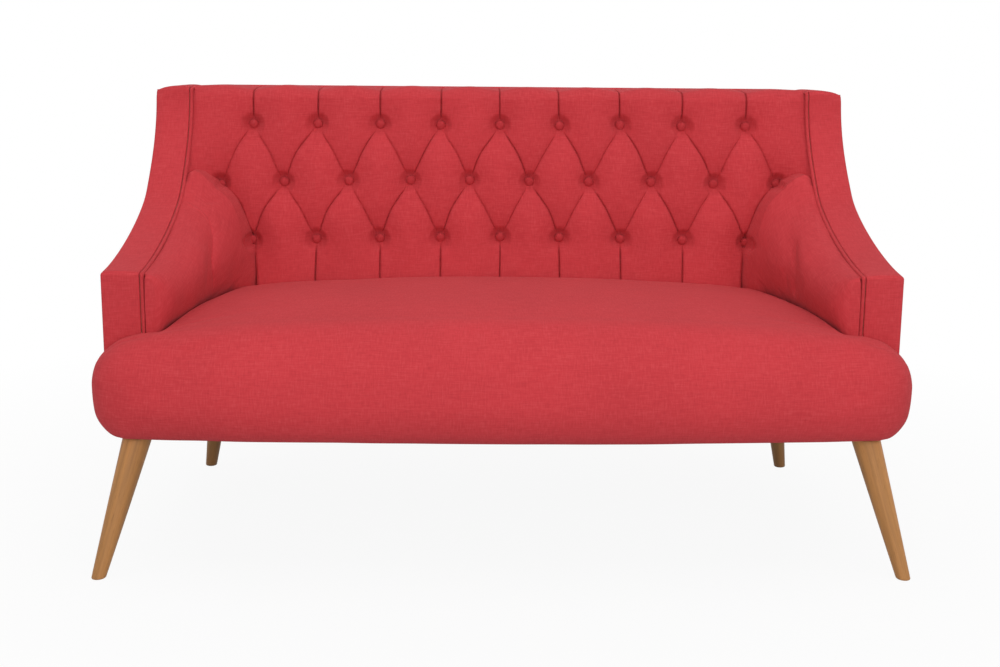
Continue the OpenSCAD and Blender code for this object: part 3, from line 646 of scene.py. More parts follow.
def bare_timber(name, colour, stretch):
    """Planed timber or plywood inside the frame, its grain drawn out along one direction."""
    g = Graph(name)
    x, y, z = g.parts(g.place())
    grain = g.vector(x * stretch[0], y * stretch[1], z * stretch[2])
    ring = g.noise(grain, 1.0, 4.0, 0.62, 0.6)
    fibre = g.noise(grain, 9.0, 2.0, 0.5)
    body = g.mix_colour(ring.span(0.3, 0.7), scaled(colour, 1.1), scaled(colour, 0.78))
    body = g.mix_colour(fibre.span(0.55, 0.8) * 0.35, body, scaled(colour, 0.6))
    return g.surface(Base_Color=body, Roughness=fibre.span(0.3, 0.7, 0.55, 0.72),
                     Normal=g.bump(fibre, 0.3, 0.0003))


def zinc_steel(name, colour):
    """Zinc-plated steel of the fastenings."""
    g = Graph(name)
    cloud = g.noise(g.place(), 140.0, 3.0, 0.6)
    body = g.mix_colour(cloud, scaled(colour, 0.82), scaled(colour, 1.12))
    return g.surface(Base_Color=body, Roughness=cloud.span(0.3, 0.7, 0.28, 0.5), Metallic=1.0,
                     Normal=g.bump(cloud, 0.15, 0.0002))


def open_weave(name, colour, pitch, contrast):
    """Coarse woven webbing, hessian or lining, its threads along X, Y and Z."""
    g = Graph(name)
    x, y, z = g.parts(g.place())
    warp = (x * (math.pi / pitch)).sine().size()
    weft = ((y + z * 0.97) * (math.pi / pitch)).sine().size()
    thread = warp * weft
    slub = g.noise(g.vector(x * 40, y * 260, z * 260), 1.0, 2.0, 0.6)
    # Lighter on the threads and darker in the hollows between them, which is painted shade, with slubs
    # of random tone
    body = g.mix_colour(thread * contrast + slub * 0.25, scaled(colour, 0.6), scaled(colour, 1.15))
    return g.surface(Base_Color=body, Roughness=slub.span(0.3, 0.7, 0.85, 0.97),
                     Normal=g.bump(thread + slub * 0.4, 0.5, pitch * 0.4))


def seen_directly(tree):
    """A socket that is 1 for what the camera sees, also in gloss and through glass, or else 0."""
    rays = tree.nodes.new("ShaderNodeLightPath")
    seen = rays.outputs["Is Camera Ray"]
    for other in ("Is Glossy Ray", "Is Transmission Ray"):
        either = tree.nodes.new("ShaderNodeMath")
        either.operation = "MAXIMUM"
        tree.links.new(seen, either.inputs[0])
        tree.links.new(rays.outputs[other], either.inputs[1])
        seen = either.outputs[0]
    return seen


def white_floor(name, colour, radius):
    """Pale floor that keeps the sofa's shadow near it and is plain white further off."""
    g = Graph(name)
    x, y, _ = g.parts(g.place())
    away = ((x * x) + (y * y) * 0.8) ** 0.5
    glow = g.add("ShaderNodeEmission", None, {"Color": (1.0, 1.0, 1.0, 1.0), "Strength": 1.0})
    seen = Value(g, seen_directly(g.material.node_tree))
    share = seen * away.span(radius * 0.3, radius, 0.92, 1.0)
    g.surface(Base_Color=colour, Roughness=0.9, Specular_IOR_Level=0.1)
    both = g.add("ShaderNodeMixShader", None, {0: share, 1: Value(g, g.shader.outputs[0]), 2: glow})
    output = next(n for n in g.nodes if n.type == "OUTPUT_MATERIAL")
    g.links.new(both.socket, output.inputs["Surface"])
    return g.material


# Cloth filling


def inflate(piece, held, cap, pressure):
    """Fills a padded piece by a cloth simulation that keeps its held points, lets each other point
    move within its cap in millimetres of where it was, and leaves a plain mesh."""
    frames = 20
    stiffness = 25.0
    rest = vertices_of(piece)
    group = piece.vertex_groups.new(name="held")
    group.add(np.flatnonzero(held).tolist(), 1.0, "REPLACE")
    cloth = piece.modifiers.new("filling", "CLOTH")
    cloth.settings.quality = 5
    cloth.settings.mass = 0.3
    cloth.settings.tension_stiffness = stiffness
    cloth.settings.compression_stiffness = stiffness
    cloth.settings.shear_stiffness = stiffness / 2
    cloth.settings.bending_stiffness = 2.0
    cloth.settings.use_pressure = True
    cloth.settings.uniform_pressure_force = pressure
    cloth.settings.effector_weights.gravity = 0
    cloth.settings.vertex_group_mass = "held"
    cloth.collision_settings.use_collision = False
    cloth.point_cache.frame_start = 1
    cloth.point_cache.frame_end = frames
    scene = bpy.context.scene
    for step in range(1, frames + 1):
        scene.frame_set(step)
    shown = piece.evaluated_get(bpy.context.evaluated_depsgraph_get())
    filled = np.empty(len(rest) * 3, np.float32)
    shown.data.vertices.foreach_get("co", filled)
    piece.modifiers.remove(cloth)
    piece.vertex_groups.remove(group)
    scene.frame_set(1)
    shift = filled.reshape(-1, 3).astype(float) - rest
    length = np.linalg.norm(shift, axis=1, keepdims=True)
    limit = np.reshape(cap, (-1, 1)) / 1000
    move_vertices(piece, rest + shift * (limit * np.tanh(length / limit) / np.maximum(length, 1e-9)))


def smoother(piece):
    """Rounds a mesh with one more level of faces."""
    rounding = piece.modifiers.new("rounding", "SUBSURF")
    rounding.levels = rounding.render_levels = 1
    shown = piece.evaluated_get(bpy.context.evaluated_depsgraph_get())
    finer = bpy.data.meshes.new_from_object(shown)
    old = piece.data
    piece.modifiers.remove(rounding)
    piece.data = finer
    bpy.data.meshes.remove(old)
    finer.name = piece.name


# Seat cushion

NOSE_LOW_STEPS = 16


def seat_top(x, y):
    """Height of the seat's crowned top."""
    crown_y = SEAT_BACK_Y - SEAT_CROWN_RUN
    fall = np.where(y > crown_y, 8, 16) * ((y - crown_y) / SEAT_CROWN_RUN) ** 2
    end = SEAT_END_X - abs(x)
    slant = 8 * np.clip((66 - end) / 46, 0, 1)
    return SEAT_CROWN_Z - fall - 16 * (x / ARM_FACE_REAR_X) ** 2 - round_in(end, 45) - slant


def seat_rear_y(x):
    """Where the seat ends behind: at the back, and beside it under the arm cushions."""
    share = (np.abs(x) - SEAT_TUCK - ARM_FACE_REAR_X) / (ARM_FACE_FRONT_X - ARM_FACE_REAR_X)
    return mix(SEAT_BACK_Y, ARM_Y, np.clip(share, 0, 1)) - PLAY


def seat_section(x, edge_roll):
    """Front, top, rear and underside of the seat cushion at x, as points in Y and Z."""
    end = SEAT_END_X - abs(x)
    front = NOSE_Y + bow(x) + round_in(end, 70)
    rear = float(seat_rear_y(x))
    low = UNDERSIDE_Z + round_in(end, 34)
    over_rail = abs(x) <= RAIL_END_X + 1
    rail = rail_y(x) - PLAY
    in_low = min(NOSE_IN, rail - front - 1.5) if over_rail else min(NOSE_IN, rear - front - 8)
    in_top = min(NOSE_TOP_IN, rear - front - 14)
    turn_y = front + in_top
    turn_z = seat_top(x, turn_y)
    a = np.radians(np.linspace(0, 90, NOSE_LOW_STEPS + 1)[:-1])
    lower_y = front + in_low * (1 - np.sin(a) ** 0.9)
    lower = np.stack([lower_y, mix(NOSE_Z, low, np.cos(a) ** 0.9)], -1)
    a = np.radians(np.linspace(0, 90, 23)[:-1])
    upper_y = front + in_top * (1 - np.cos(a) ** 0.95)
    upper = np.stack([upper_y, mix(NOSE_Z, turn_z, np.sin(a) ** 0.95)], -1)
    roll = min(edge_roll, rear - turn_y - 1)
    y = np.concatenate([np.linspace(turn_y, rear - roll, 44)[:-1],
                        rear - roll + roll * np.sin(np.radians(np.linspace(0, 90, 7)))])
    top = np.stack([y, seat_top(x, y) - 0.8 * round_in(rear - y, roll)], -1)
    if over_rail:
        foot = [(rear, PAD_Z), (rail, PAD_Z), (rail, low), (front + in_low, low)]
    else:
        foot = [(rear, low + 12), (mix(front + in_low, rear, 0.66), low),
                (mix(front + in_low, rear, 0.33), low), (front + in_low, low)]
    foot = np.array([top[-1], *foot])
    under = []
    for i, steps in enumerate((5, 30, 4, 3)):
        under += [mix(foot[i], foot[i + 1], t) for t in np.arange(1, steps + 1) / steps]
    return np.concatenate([lower, upper, top, np.array(under[:-1])])


def make_seat(sizes, cloth):
    """The bull-nosed bench cushion with its bowed front and rounded ends."""
    end_round = 72
    inner = np.linspace(0, SEAT_END_X - end_round, 84)
    ends = SEAT_END_X - end_round + end_round * np.sin(np.radians(np.linspace(4, 90, 20)))
    half = np.concatenate([inner, ends])
    half[np.argmin(abs(half - RAIL_END_X - 1))] = RAIL_END_X + 1
    xs = np.concatenate([-half[:0:-1], half])
    sections = np.array([seat_section(x, sizes.seat_edge_roll * 1000) for x in xs])
    across = np.broadcast_to(xs[:, None, None], (*sections.shape[:2], 1))
    rings = np.concatenate([across, sections], -1)
    x, y, z = np.moveaxis(rings, -1, 0)
    # Hand-filled unevenness where nothing holds the cover
    lift = 1.3 * ripple(x, y + z, 150, 3) + 0.5 * ripple(x, y + z, 55, 4)
    free = (z > PAD_Z + 20) | (y < rail_y(x) - 2)
    middle = np.stack([x, np.full_like(x, -80.0), np.full_like(x, 300.0)], -1)
    way = rings - middle
    way /= np.linalg.norm(way, axis=-1, keepdims=True)
    clear = smooth(0, 40, SEAT_BACK_Y - y) * smooth(0, 40, SEAT_END_X - abs(x)) * free
    rings = rings + way * (lift * clear)[..., None]
    belly = smooth(RAIL_END_X + 4, SEAT_END_X, abs(x)) * smooth(UNDERSIDE_Z - 4, NOSE_Z - 45, z)
    rings[..., 0] += np.sign(x) * 7.5 * belly * (1 - smooth(NOSE_Z + 5, SEAT_CROWN_Z - 30, z))
    shell = Shell()
    around = around_of(looped(rings))
    around -= around[:, NOSE_LOW_STEPS:NOSE_LOW_STEPS + 1]
    shell.grid(looped(rings), xs[:, None], around)
    shell.cap(rings[0], flip=True, bulge=0.5, out=(-1, 0, 0))
    shell.cap(rings[-1], bulge=0.5, out=(1, 0, 0))
    piece = shell.add("seat_cushion")
    x, y, z = vertices_of(piece).T * 1000
    below = ((z < PAD_Z + 6) & (y > rail_y(x) - 3)) | (z < UNDERSIDE_Z + 8)
    behind = (y > SEAT_BACK_Y - 12) & (z < SEAT_CROWN_Z - 30)
    beside = (abs(x) > ARM_FACE_REAR_X - 10) & (y > seat_rear_y(x) - 26)
    fuller = mix(0.2, 1, smooth(UNDERSIDE_Z + 6, NOSE_Z + 10, z))
    fuller = fuller * mix(1, 0.45, smooth(RAIL_END_X - 60, RAIL_END_X + 10, abs(x)))
    inflate(piece, below | behind | beside, sizes.seat_fill * 1000 * fuller, 4.0)
    smoother(piece)
    dress(piece, cloth, "fabric", "seat_pad")


# Buttoned back


def button_places():
    """Every button's place in X and Z: the middle row stands half a pitch over, with one more."""
    places = []
    for row, z in enumerate(ROWS_Z):
        count = SHORT_ROW + row % 2
        places += [((i - (count - 1) / 2) * BUTTON_PITCH, z) for i in range(count)]
    return places


def nearest_button(x, z):
    """Distance to the nearest button in the plane of X and Z."""
    best = np.full(np.shape(x), 1e9)
    for bx, bz in button_places():
        best = np.minimum(best, np.hypot(x - bx, z - bz))
    return best


def pleats(x, z):
    """For both families of slanting pleats: the distance above the nearest one, its share of a
    diamond's way and whether it runs outwards. Last, whether the pleats slant at this height."""
    down = (np.clip(z, ROWS_Z[-1], ROWS_Z[0]) - ROWS_Z[0]) / (2 * ROW_PITCH)
    slanting = (z < ROWS_Z[0]) & (z > ROWS_Z[-1])
    slope = np.where(slanting, math.hypot(1 / BUTTON_PITCH, 1 / (2 * ROW_PITCH)), 1 / BUTTON_PITCH)
    reach = LONG_END_X / BUTTON_PITCH
    found = []
    for side in (1, -1):
        way = x / BUTTON_PITCH + side * down
        low = np.where(down > -0.5, -reach, -reach - side)
        high = np.where(down > -0.5, reach, reach - side)
        inside = (way > low - 0.01) & (way < high + 0.01)
        above = (way - np.round(way)) / slope * side
        full = np.where(inside, np.abs(np.sin(np.pi * way)), 1.0)
        outwards = np.where(x == 0, side, side * np.sign(x))
        found.append((np.where(inside, above, 60.0), full, outwards))
    return found, slanting


def pleat_depth(x, z, sizes):
    """Depth of the buttoned face behind its fullest pillows. A pleat that runs down and outwards
    is folded deeper than one that runs down and inwards, and an upright one is deepest."""
    found, slanting = pleats(x, z)
    keep, full, slit = 1.0, 1.0, 0.0
    for above, share, outwards in found:
        slanting_fold = np.where(outwards > 0, sizes.fold, 0.45 * sizes.fold)
        fold = np.where(slanting, slanting_fold, np.where(outwards > 0, 2.2 * sizes.fold, 0))
        width = np.where(slanting, 0.8, np.where(above > 0, 0.9, 1.6))
        keep = keep * (1 - np.exp(-np.abs(above) / np.where(slanting & (above < 0), 7.0, 4.0)))
        slit = np.maximum(slit, fold * 1000 * bell(above, width))
        full = full * share
    faint = smooth(SHORT_END_X + 4, SHORT_END_X + 26, abs(x))
    pillow = sizes.pillow * 1000 * (1 - full**0.8)
    depth = sizes.pleat * 1000 * (1 - keep) + pillow + slit * (1 - 0.6 * faint)
    # The tuft round each button
    r = nearest_button(x, z)
    at_button = (sizes.pleat + sizes.pillow) * 1000 + 5
    depth = depth + (TUFT_DEPTH - at_button) * np.exp(-((r / 27) ** 1.25))
    depth = mix(depth, TUFT_DEPTH - 0.5, 1 - smooth(6.5, 23, r))
    depth += (0.8 * ripple(x, z, 48, 13) + 0.3 * ripple(x, z, 17, 14)) * smooth(8, 20, r)
    return np.minimum(depth, TUFT_DEPTH + 0.6)


def drawn(x, z):
    """Where the cloth at a place of the plain button pattern ends up, once the pleats are bowed
    and the buttons are drawn in and down by hand."""
    hold = 1 - smooth(SHORT_END_X - 16, LONG_END_X + 4, abs(x))
    low = np.clip((ROWS_Z[0] - z) / (ROWS_Z[0] - ROWS_Z[-1]), 0, 1)
    found, slanting = pleats(x, z)
    way = (ROWS_Z[0] - z) / ROW_PITCH % 1
    hump = np.where(slanting, 4 * way * (1 - way) * (1.3 - 0.6 * way), 0)
    near = [1 - share for _, share, _ in found]
    uneven = 1 + 0.45 * ripple(x, z, 90, 16)
    bows = [np.where(outwards > 0, BOW_OUT, BOW_IN) * uneven for _, _, outwards in found]
    bowed = hump * (bows[0] * near[0] - bows[1] * near[1]) / (near[0] + near[1] + 0.05)
    dx = bowed * hold - DRAWN_IN * np.sin(np.pi * np.clip(x / (SHORT_END_X + 8), -1, 1))
    dz = -DRAWN_DOWN * low * (x / SHORT_END_X) ** 2 * hold
    at_end = np.exp(-(((abs(x) - LONG_END_X) / 26) ** 2) - ((z - ROWS_Z[1]) / 30) ** 2)
    dz = dz - (END_SAG - END_SAG_MORE_LEFT * np.sign(x)) * at_end
    jitter = 1.6 * hold
    return x + dx + jitter * ripple(x, z, 70, 17), z + dz + jitter * ripple(x, z, 70, 18)


def drawn_button(x, z):
    """Where the button at a place of the plain pattern ends up."""
    return [float(v[0]) for v in drawn(np.array([x]), np.array([z]))]


def back_face_depth(x, z, sizes):
    """Depth of the face with its bed behind the arm cushions and its sides out to the wings."""
    side_w = 52
    depth = pleat_depth(x, z, sizes)
    reach = back_y(z, 0) - wing_front(z) - 2 * PIPING_R - 1.5
    edge = np.clip((abs(x) - (INNER_X - side_w)) / side_w, 0, 1)
    gap = crease_gap(x, z)
    bedded = np.maximum(depth, ARM_BED)
    depth = depth - 0.86 * np.maximum(reach, 0) * edge**2 + round_in(INNER_X - abs(x), 5)
    depth = depth + round_in(np.maximum(gap, 0), 2.5)
    return mix(bedded, depth, smooth(-7, -1, gap))


def fold_cuts(x, z):
    """How each quad of the face is cut, so that its cloth folds along the slanting pleats."""
    down = (z - ROWS_Z[0]) / (2 * ROW_PITCH)
    rising, falling = x / BUTTON_PITCH - down, x / BUTTON_PITCH + down
    along_rising = np.abs(rising - np.round(rising))[:-1, :-1] < 1e-4
    along_falling = np.abs(falling - np.round(falling))[:-1, 1:] < 1e-4
    middle = (z[:-1, :-1] + z[1:, 1:]) / 2
    inside = (middle < ROWS_Z[0]) & (middle > ROWS_Z[-1]) & (abs(x[:-1, :-1]) < LONG_END_X)
    return np.where(inside & along_rising, 1, np.where(inside & along_falling, 2, 0))


def make_back(sizes, cloth):
    """The deep-buttoned back cushion, rolled over the top rail to the rear."""
    column, row = BUTTON_PITCH / 84, ROW_PITCH / 42
    half = np.append(np.arange(0, int((INNER_X - 1) / column) + 1) * column, INNER_X - PLAY)
    xs = np.concatenate([-half[:0:-1], half])
    zs = ROWS_Z[0] + row * np.arange(-118, 20)
    x, z = np.meshgrid(xs, zs, indexing="ij")
    depth = back_face_depth(x, z, sizes)
    shown_x, shown_z = drawn(x, z)
    face = np.stack([shown_x, back_y(shown_z, depth), shown_z], -1)
    # The roll over the top, where the pleats run on to the rear: an arc, a run and a turn down
    arc_steps, run_steps, turn_steps = 20, 8, 6
    turn_z = zs[-1]
    angle = np.radians(np.linspace(0, 90, arc_steps + 1))[1:]
    r_y, r_z, r_rear = 24.0, BACK_Z - turn_z, 9
    arc_y = back_y(turn_z, 0) + r_y * (1 - np.cos(angle)) + r_z * math.tan(RECLINE) * np.sin(angle)
    arc_z = turn_z + r_z * np.sin(angle)
    rear = rear_y(WING_Z)
    run_y = np.linspace(arc_y[-1], rear - r_rear, run_steps + 1)[1:]
    run_z = BACK_Z - 1.5 * np.linspace(0, 1, run_steps + 1)[1:] ** 2
    turn = np.radians(np.linspace(0, 90, turn_steps + 1))[1:]
    end_y = rear - r_rear + (r_rear - PLAY) * np.sin(turn)
    end_z = run_z[-1] - r_rear * (1 - np.cos(turn))
    roll_y, roll_z = np.concatenate([arc_y, run_y, end_y]), np.concatenate([arc_z, run_z, end_z])
    lean = np.concatenate([angle, np.full(run_steps + turn_steps, math.pi / 2)])
    fade = np.concatenate([np.linspace(1, 0.7, arc_steps + 1)[1:],
                           np.linspace(0.7, 0.2, run_steps + 1)[1:], np.zeros(turn_steps)])
    top_x = np.broadcast_to(xs[:, None], (len(xs), len(roll_y)))
    top_z = np.full_like(top_x, turn_z)
    sink = pleat_depth(top_x, top_z, sizes) * fade
    side = depth[:, -1:] - pleat_depth(x[:, -1:], z[:, -1:], sizes)
    lowered = 2 + 2 * smooth(0.9, 1.0, abs(top_x) / INNER_X)
    y_over = roll_y + sink * np.cos(lean) + side * (1 - smooth(0, 60, roll_y - roll_y[0]))
    z_over = roll_z - (sink + lowered) * np.sin(lean)
    roll = np.stack([drawn(top_x, top_z)[0], y_over, z_over], -1)
    # The hidden way down behind and forward again under the seat
    bottom = BACK_LOW_Z + 25
    hidden = np.array([
        (rear_y(WING_Z - BAND_T) - PLAY, WING_Z - BAND_T - 2),
        (back_y(WING_Z - BAND_T, BACK_T), WING_Z - BAND_T - 3),
        (back_y(bottom, BACK_T), bottom),
        (back_y(bottom, 40), bottom),
        (back_y(zs[0], ARM_BED) + 2, zs[0] - 4),
    ])
    tail_x = np.broadcast_to(xs[:, None], (len(xs), len(hidden)))
    tail = np.stack([tail_x, *np.broadcast_arrays(hidden[:, 0], hidden[:, 1], tail_x)[:2]], -1)
    rings = np.concatenate([face, roll, tail], axis=1)
    shell = Shell()
    closed = looped(rings)
    # The cloth runs as it does along one column between two buttons
    between = len(xs) // 2 + 12
    split = np.zeros((closed.shape[0] - 1, closed.shape[1] - 1), int)
    split[:, : len(zs) - 1] = fold_cuts(x, z)
    shell.grid(closed, xs[:, None], along(closed[between]), split)
    shell.cap(rings[0], shares=(), flip=True, out=(-1, 0, 0))
    shell.cap(rings[-1], shares=(), out=(1, 0, 0))
    piece = shell.add("back_cushion")
    piece.data.set_sharp_from_angle(angle=math.radians(42))
    dress(piece, cloth, "fabric", "back_pad")


# Buttons


def button_shape(width, height):
    """One covered button, its cloth gathered in small folds round the rim."""
    around, shell = 28, Shell()
    angle = np.linspace(0, 2 * np.pi, around, endpoint=False)
    profile = [(1.0, 0.0), (1.02, 0.16), (1.0, 0.34), (0.93, 0.56), (0.8, 0.76), (0.6, 0.91),
               (0.33, 0.985)]
    rings = []
    for r, h in profile:
        fold = 1 + 0.018 * np.cos(angle * 14) * (r > 0.75)
        ring = [r * width / 2 * fold * np.cos(angle), r * width / 2 * fold * np.sin(angle),
                np.full(around, h * height)]
        rings.append(np.stack(ring, -1))
    rings = np.array(rings)
    loops = looped(rings)
    shell.grid(loops, loops[..., 0], loops[..., 1])
    shell.cap(rings[-1], shares=(0.5,), bulge=height * 0.015, out=(0, 0, 1))
    shell.cap(rings[0], shares=(0.5,), flip=True, out=(0, 0, -1))
    return shell.add("button_pattern")


class Layout:
    """A geometry node tree with named inputs, built node by node."""

    def __init__(self, name):
        self.tree = bpy.data.node_groups.new(name, "GeometryNodeTree")
        self.tree.interface.new_socket("Geometry", in_out="INPUT", socket_type="NodeSocketGeometry")
        self.tree.interface.new_socket("Geometry", in_out="OUTPUT", socket_type="NodeSocketGeometry")
        self.start = self.tree.nodes.new("NodeGroupInput")
        self.end = self.tree.nodes.new("NodeGroupOutput")
        self.values = {}

    def input(self, name, kind, value):
        """Adds a named input and remembers what it is set to."""
        socket = self.tree.interface.new_socket(name, in_out="INPUT", socket_type=kind)
        self.values[socket.identifier] = value
        return self.start.outputs[name]

    def node(self, kind, settings=None, sockets=None):
        """Adds a node: its settings first, then the values or links of its sockets."""
        node = self.tree.nodes.new(kind)
        for name, setting in (settings or {}).items():
            setattr(node, name, setting)
        for name, value in (sockets or {}).items():
            socket = node.inputs[name]
            if isinstance(value, bpy.types.NodeSocket):
                self.tree.links.new(value, socket)
            else:
                socket.default_value = value
        return node.outputs

    def finish(self, geometry, material):
        """Ends the tree in real, finished geometry."""
        real = self.node("GeometryNodeRealizeInstances", None, {0: geometry})
        done = self.node("GeometryNodeSetMaterial", None, {"Geometry": real[0], "Material": material})
        self.tree.links.new(done[0], self.end.inputs[0])

    def apply(self, name, mesh):
        """Runs the tree on a mesh and returns the result as a plain mesh object."""
        piece = new_object(name, mesh)
        modifier = piece.modifiers.new("layout", "NODES")
        modifier.node_group = self.tree
        for identifier, value in self.values.items():
            modifier[identifier] = value
        shown = piece.evaluated_get(bpy.context.evaluated_depsgraph_get())
        result = bpy.data.meshes.new_from_object(shown)
        piece.modifiers.remove(modifier)
        piece.data = result
        result.name = name
        shade_smooth(result)
        return piece


def point_mesh(name, points):
    """A mesh of loose points in metres."""
    mesh = bpy.data.meshes.new(name)
    mesh.from_pydata([tuple(p) for p in points], [], [])
    return mesh


def make_buttons(sizes, cloth):
    """The covered buttons, each square to the back at the bottom of its tuft."""
    pattern = button_shape(sizes.button_width * 1000, sizes.button_height * 1000)
    layout = Layout("button_rows")
    button = layout.input("Button", "NodeSocketObject", pattern)
    lean = layout.input("Lean", "NodeSocketFloat", math.pi / 2 + RECLINE)
    seed = layout.input("Seed", "NodeSocketInt", 5)
    shape = layout.node("GeometryNodeObjectInfo", {"transform_space": "ORIGINAL"}, {"Object": button})
    tilt = layout.node("FunctionNodeRandomValue", {"data_type": "FLOAT_VECTOR"},
                       {"Min": (-0.06, -0.06, -3.1), "Max": (0.06, 0.06, 3.1), "Seed": seed})
    base = layout.node("ShaderNodeCombineXYZ", None, {0: lean})
    turned = layout.node("FunctionNodeRotateEuler", {"rotation_type": "EULER", "space": "LOCAL"},
                         {"Rotation": base[0], "Rotate By": tilt[0]})
    spread = layout.node("GeometryNodeInstanceOnPoints", None,
                         {"Points": layout.start.outputs[0], "Instance": shape["Geometry"],
                          "Rotation": turned[0]})
    layout.finish(spread[0], cloth)
    seated = TUFT_DEPTH - 0.3
    places = [(x, back_y(z, seated), z) for x, z in (drawn_button(*place) for place in button_places())]
    piece = layout.apply("back_buttons_covered", point_mesh("button_places", np.array(places) / 1000))
    bpy.data.objects.remove(pattern)
    dress(piece, None, "button_fabric", "back_buttons")


# Arm cushions

FACE_STEPS = 6


def edge_under(y):
    """Height of the arm's edge, set in under the piping, at depth y."""
    points, sides = arm_edge(UNDERSIDE_Z)
    inner = points - sides * (2 * PIPING_R - 3.2)
    run = (inner[:, 1] > ARM_FRONT_Z - 30) & (inner[:, 0] > ARM_Y + 2) & (inner[:, 0] < WING_Y + 9)
    inner = inner[run]
    order = np.argsort(inner[:, 0])
    return np.interp(y, inner[order, 0], inner[order, 1])


def arm_cushion_ring(share, rise, side):
    """One section of an arm cushion, a share of its run from the front: a few points across its
    foot on the seat's deck and up its face, and then its cover at the given shares of its rise."""
    y0 = mix(ARM_Y + PLAY, SEAT_BACK_Y, share)
    ahead = y0 - ARM_Y
    high = mix(3.3, CREASE_POWER, smooth(0.25, 1, share))
    x_in = arm_face_x(y0) - (CREASE_IN - 122) * smooth(0.7, 1, share)
    x_in = x_in + 0.72 * round_in(ahead, 30) + 0.3 + 0.5 * round_in(ahead, 8)
    x_in = x_in - 5 * math.sin(math.pi * min(ahead / 205, 1))
    x_in = x_in - 3 * math.sin(math.pi * max(0, share * 2.2 - 1.2))
    x_out = INNER_X - 0.3 - (2 * PIPING_R if ahead < 8 else 0)
    seat_z = seat_top(arm_face_x(y0), y0) - 12
    z_low = mix(seat_z, CREASE_LOW, smooth(0.5, 1, share))
    deep = ARM_BED / math.cos(RECLINE) * share
    # Its top meets the arm's edge, at a depth that follows from its height
    z_top = ARM_FRONT_Z
    for _ in range(40):
        y_top = y0 + deep + max(0, z_top - BACK_FOOT_Z) * math.tan(RECLINE) * share
        z_top = mix(z_top, min(float(edge_under(y_top)), CREASE_HIGH + 3), 0.5)
    z_top = z_top - 0.5 * round_in(ahead, 8)
    width = (x_out - x_in) * (1 - rise**high) ** (1 / high)
    z = mix(z_low, z_top, rise)
    # Its foot draws in where the seat presses against it
    tucked = smooth(-24, 30, ahead) * (1 - smooth(0.72, 0.98, share))
    under = 21 * np.clip(1 - (z - seat_z) / 72, 0, 1) ** 1.7 * tucked
    x = np.minimum(x_out - width + under, x_out)
    late = smooth(0.5, 0.8, share)
    sag = piping_sag(x) * smooth(CREASE_HIGH - 26, CREASE_HIGH - 2, z)
    z = z - late * (sag + button_sag(side * x) * smooth(CREASE_HIGH - 66, CREASE_HIGH - 38, z))
    y = y0 + deep + np.maximum(0, z - BACK_FOOT_Z) * math.tan(RECLINE) * share
    foot = [(foot_x, y0 + deep, PAD_Z) for foot_x in (x_out, mix(x_out, x_in, 0.5), x[0])]
    foot += [(x[0], y0 + deep, mix(PAD_Z, z_low, k / FACE_STEPS)) for k in range(1, FACE_STEPS)]
    return np.concatenate([np.array(foot), np.stack([x, y, z], -1)])


def make_arm_cushion(cloth, side):
    """The padded inside of one arm, from its boxed front to where it dies into the back."""
    run = SEAT_BACK_Y - ARM_Y - PLAY
    front_steps = 9 * (1 - np.cos(np.radians(np.linspace(0, 90, 7))))
    rear_steps = run - 9 + 9 * np.linspace(0, 1, 7)
    t = np.concatenate([front_steps, np.linspace(11, run - 10, 205), rear_steps]) / run
    over = 0.5 + 0.5 * np.sin(np.linspace(0, np.pi / 2, 56))[1:]
    rise = np.concatenate([np.linspace(0, 0.5, 44), over])
    rings = np.array([arm_cushion_ring(share, rise, side) for share in t])
    rings = arm_cushion_creases(rings, rings.shape[1] - len(rise), side)
    shell = Shell()
    around = around_of(rings)
    around = np.concatenate([around, around[:, -1:] + 20], axis=1) - around[:, -1:]
    shell.grid(looped(rings), (t * run)[:, None], around)
    shell.cap(rings[0], flip=True, bulge=0.2, out=(0, -1, 0))
    shell.cap(rings[-1], shares=(0.9, 0.5), out=(0, 1, 0))
    piece = shell.add(of_side("arm_cushion", side), mirror=side < 0)
    x, y, z = vertices_of(piece).T * 1000
    held = (abs(x) > INNER_X - 9) | (z < SEAT_CROWN_Z - 30) | (y < ARM_Y + 3)
    held |= y > back_y(z, 0) - 4
    inflate(piece, held, 3.0, 3.0)
    smoother(piece)
    dress(piece, cloth, "fabric", of_side("arm_pad", side))


def left_fold(off, share):
    """The left cushion's one deep fold: a cusp with a slit low down and a raised lip high up."""
    deep = np.interp(share, [0, 0.12, 0.3, 0.5, 0.7, 0.85, 0.97, 1], [0, 1.5, 4, 6.5, 6, 4.5, 2, 0])
    low = smooth(0.12, 0.4, share) * (1 - smooth(0.68, 0.8, share))
    high = smooth(0.66, 0.78, share) * (1 - smooth(0.93, 1, share))
    cusp = np.where(off < 0, np.exp(np.minimum(off, 0) / 24), np.exp(-np.maximum(off, 0) / 17))
    slit = 3.2 * low * bell(off, 2.4)
    lip = 2.2 * high * bell(off + 3, 2.8)
    return deep * cusp + slit - lip


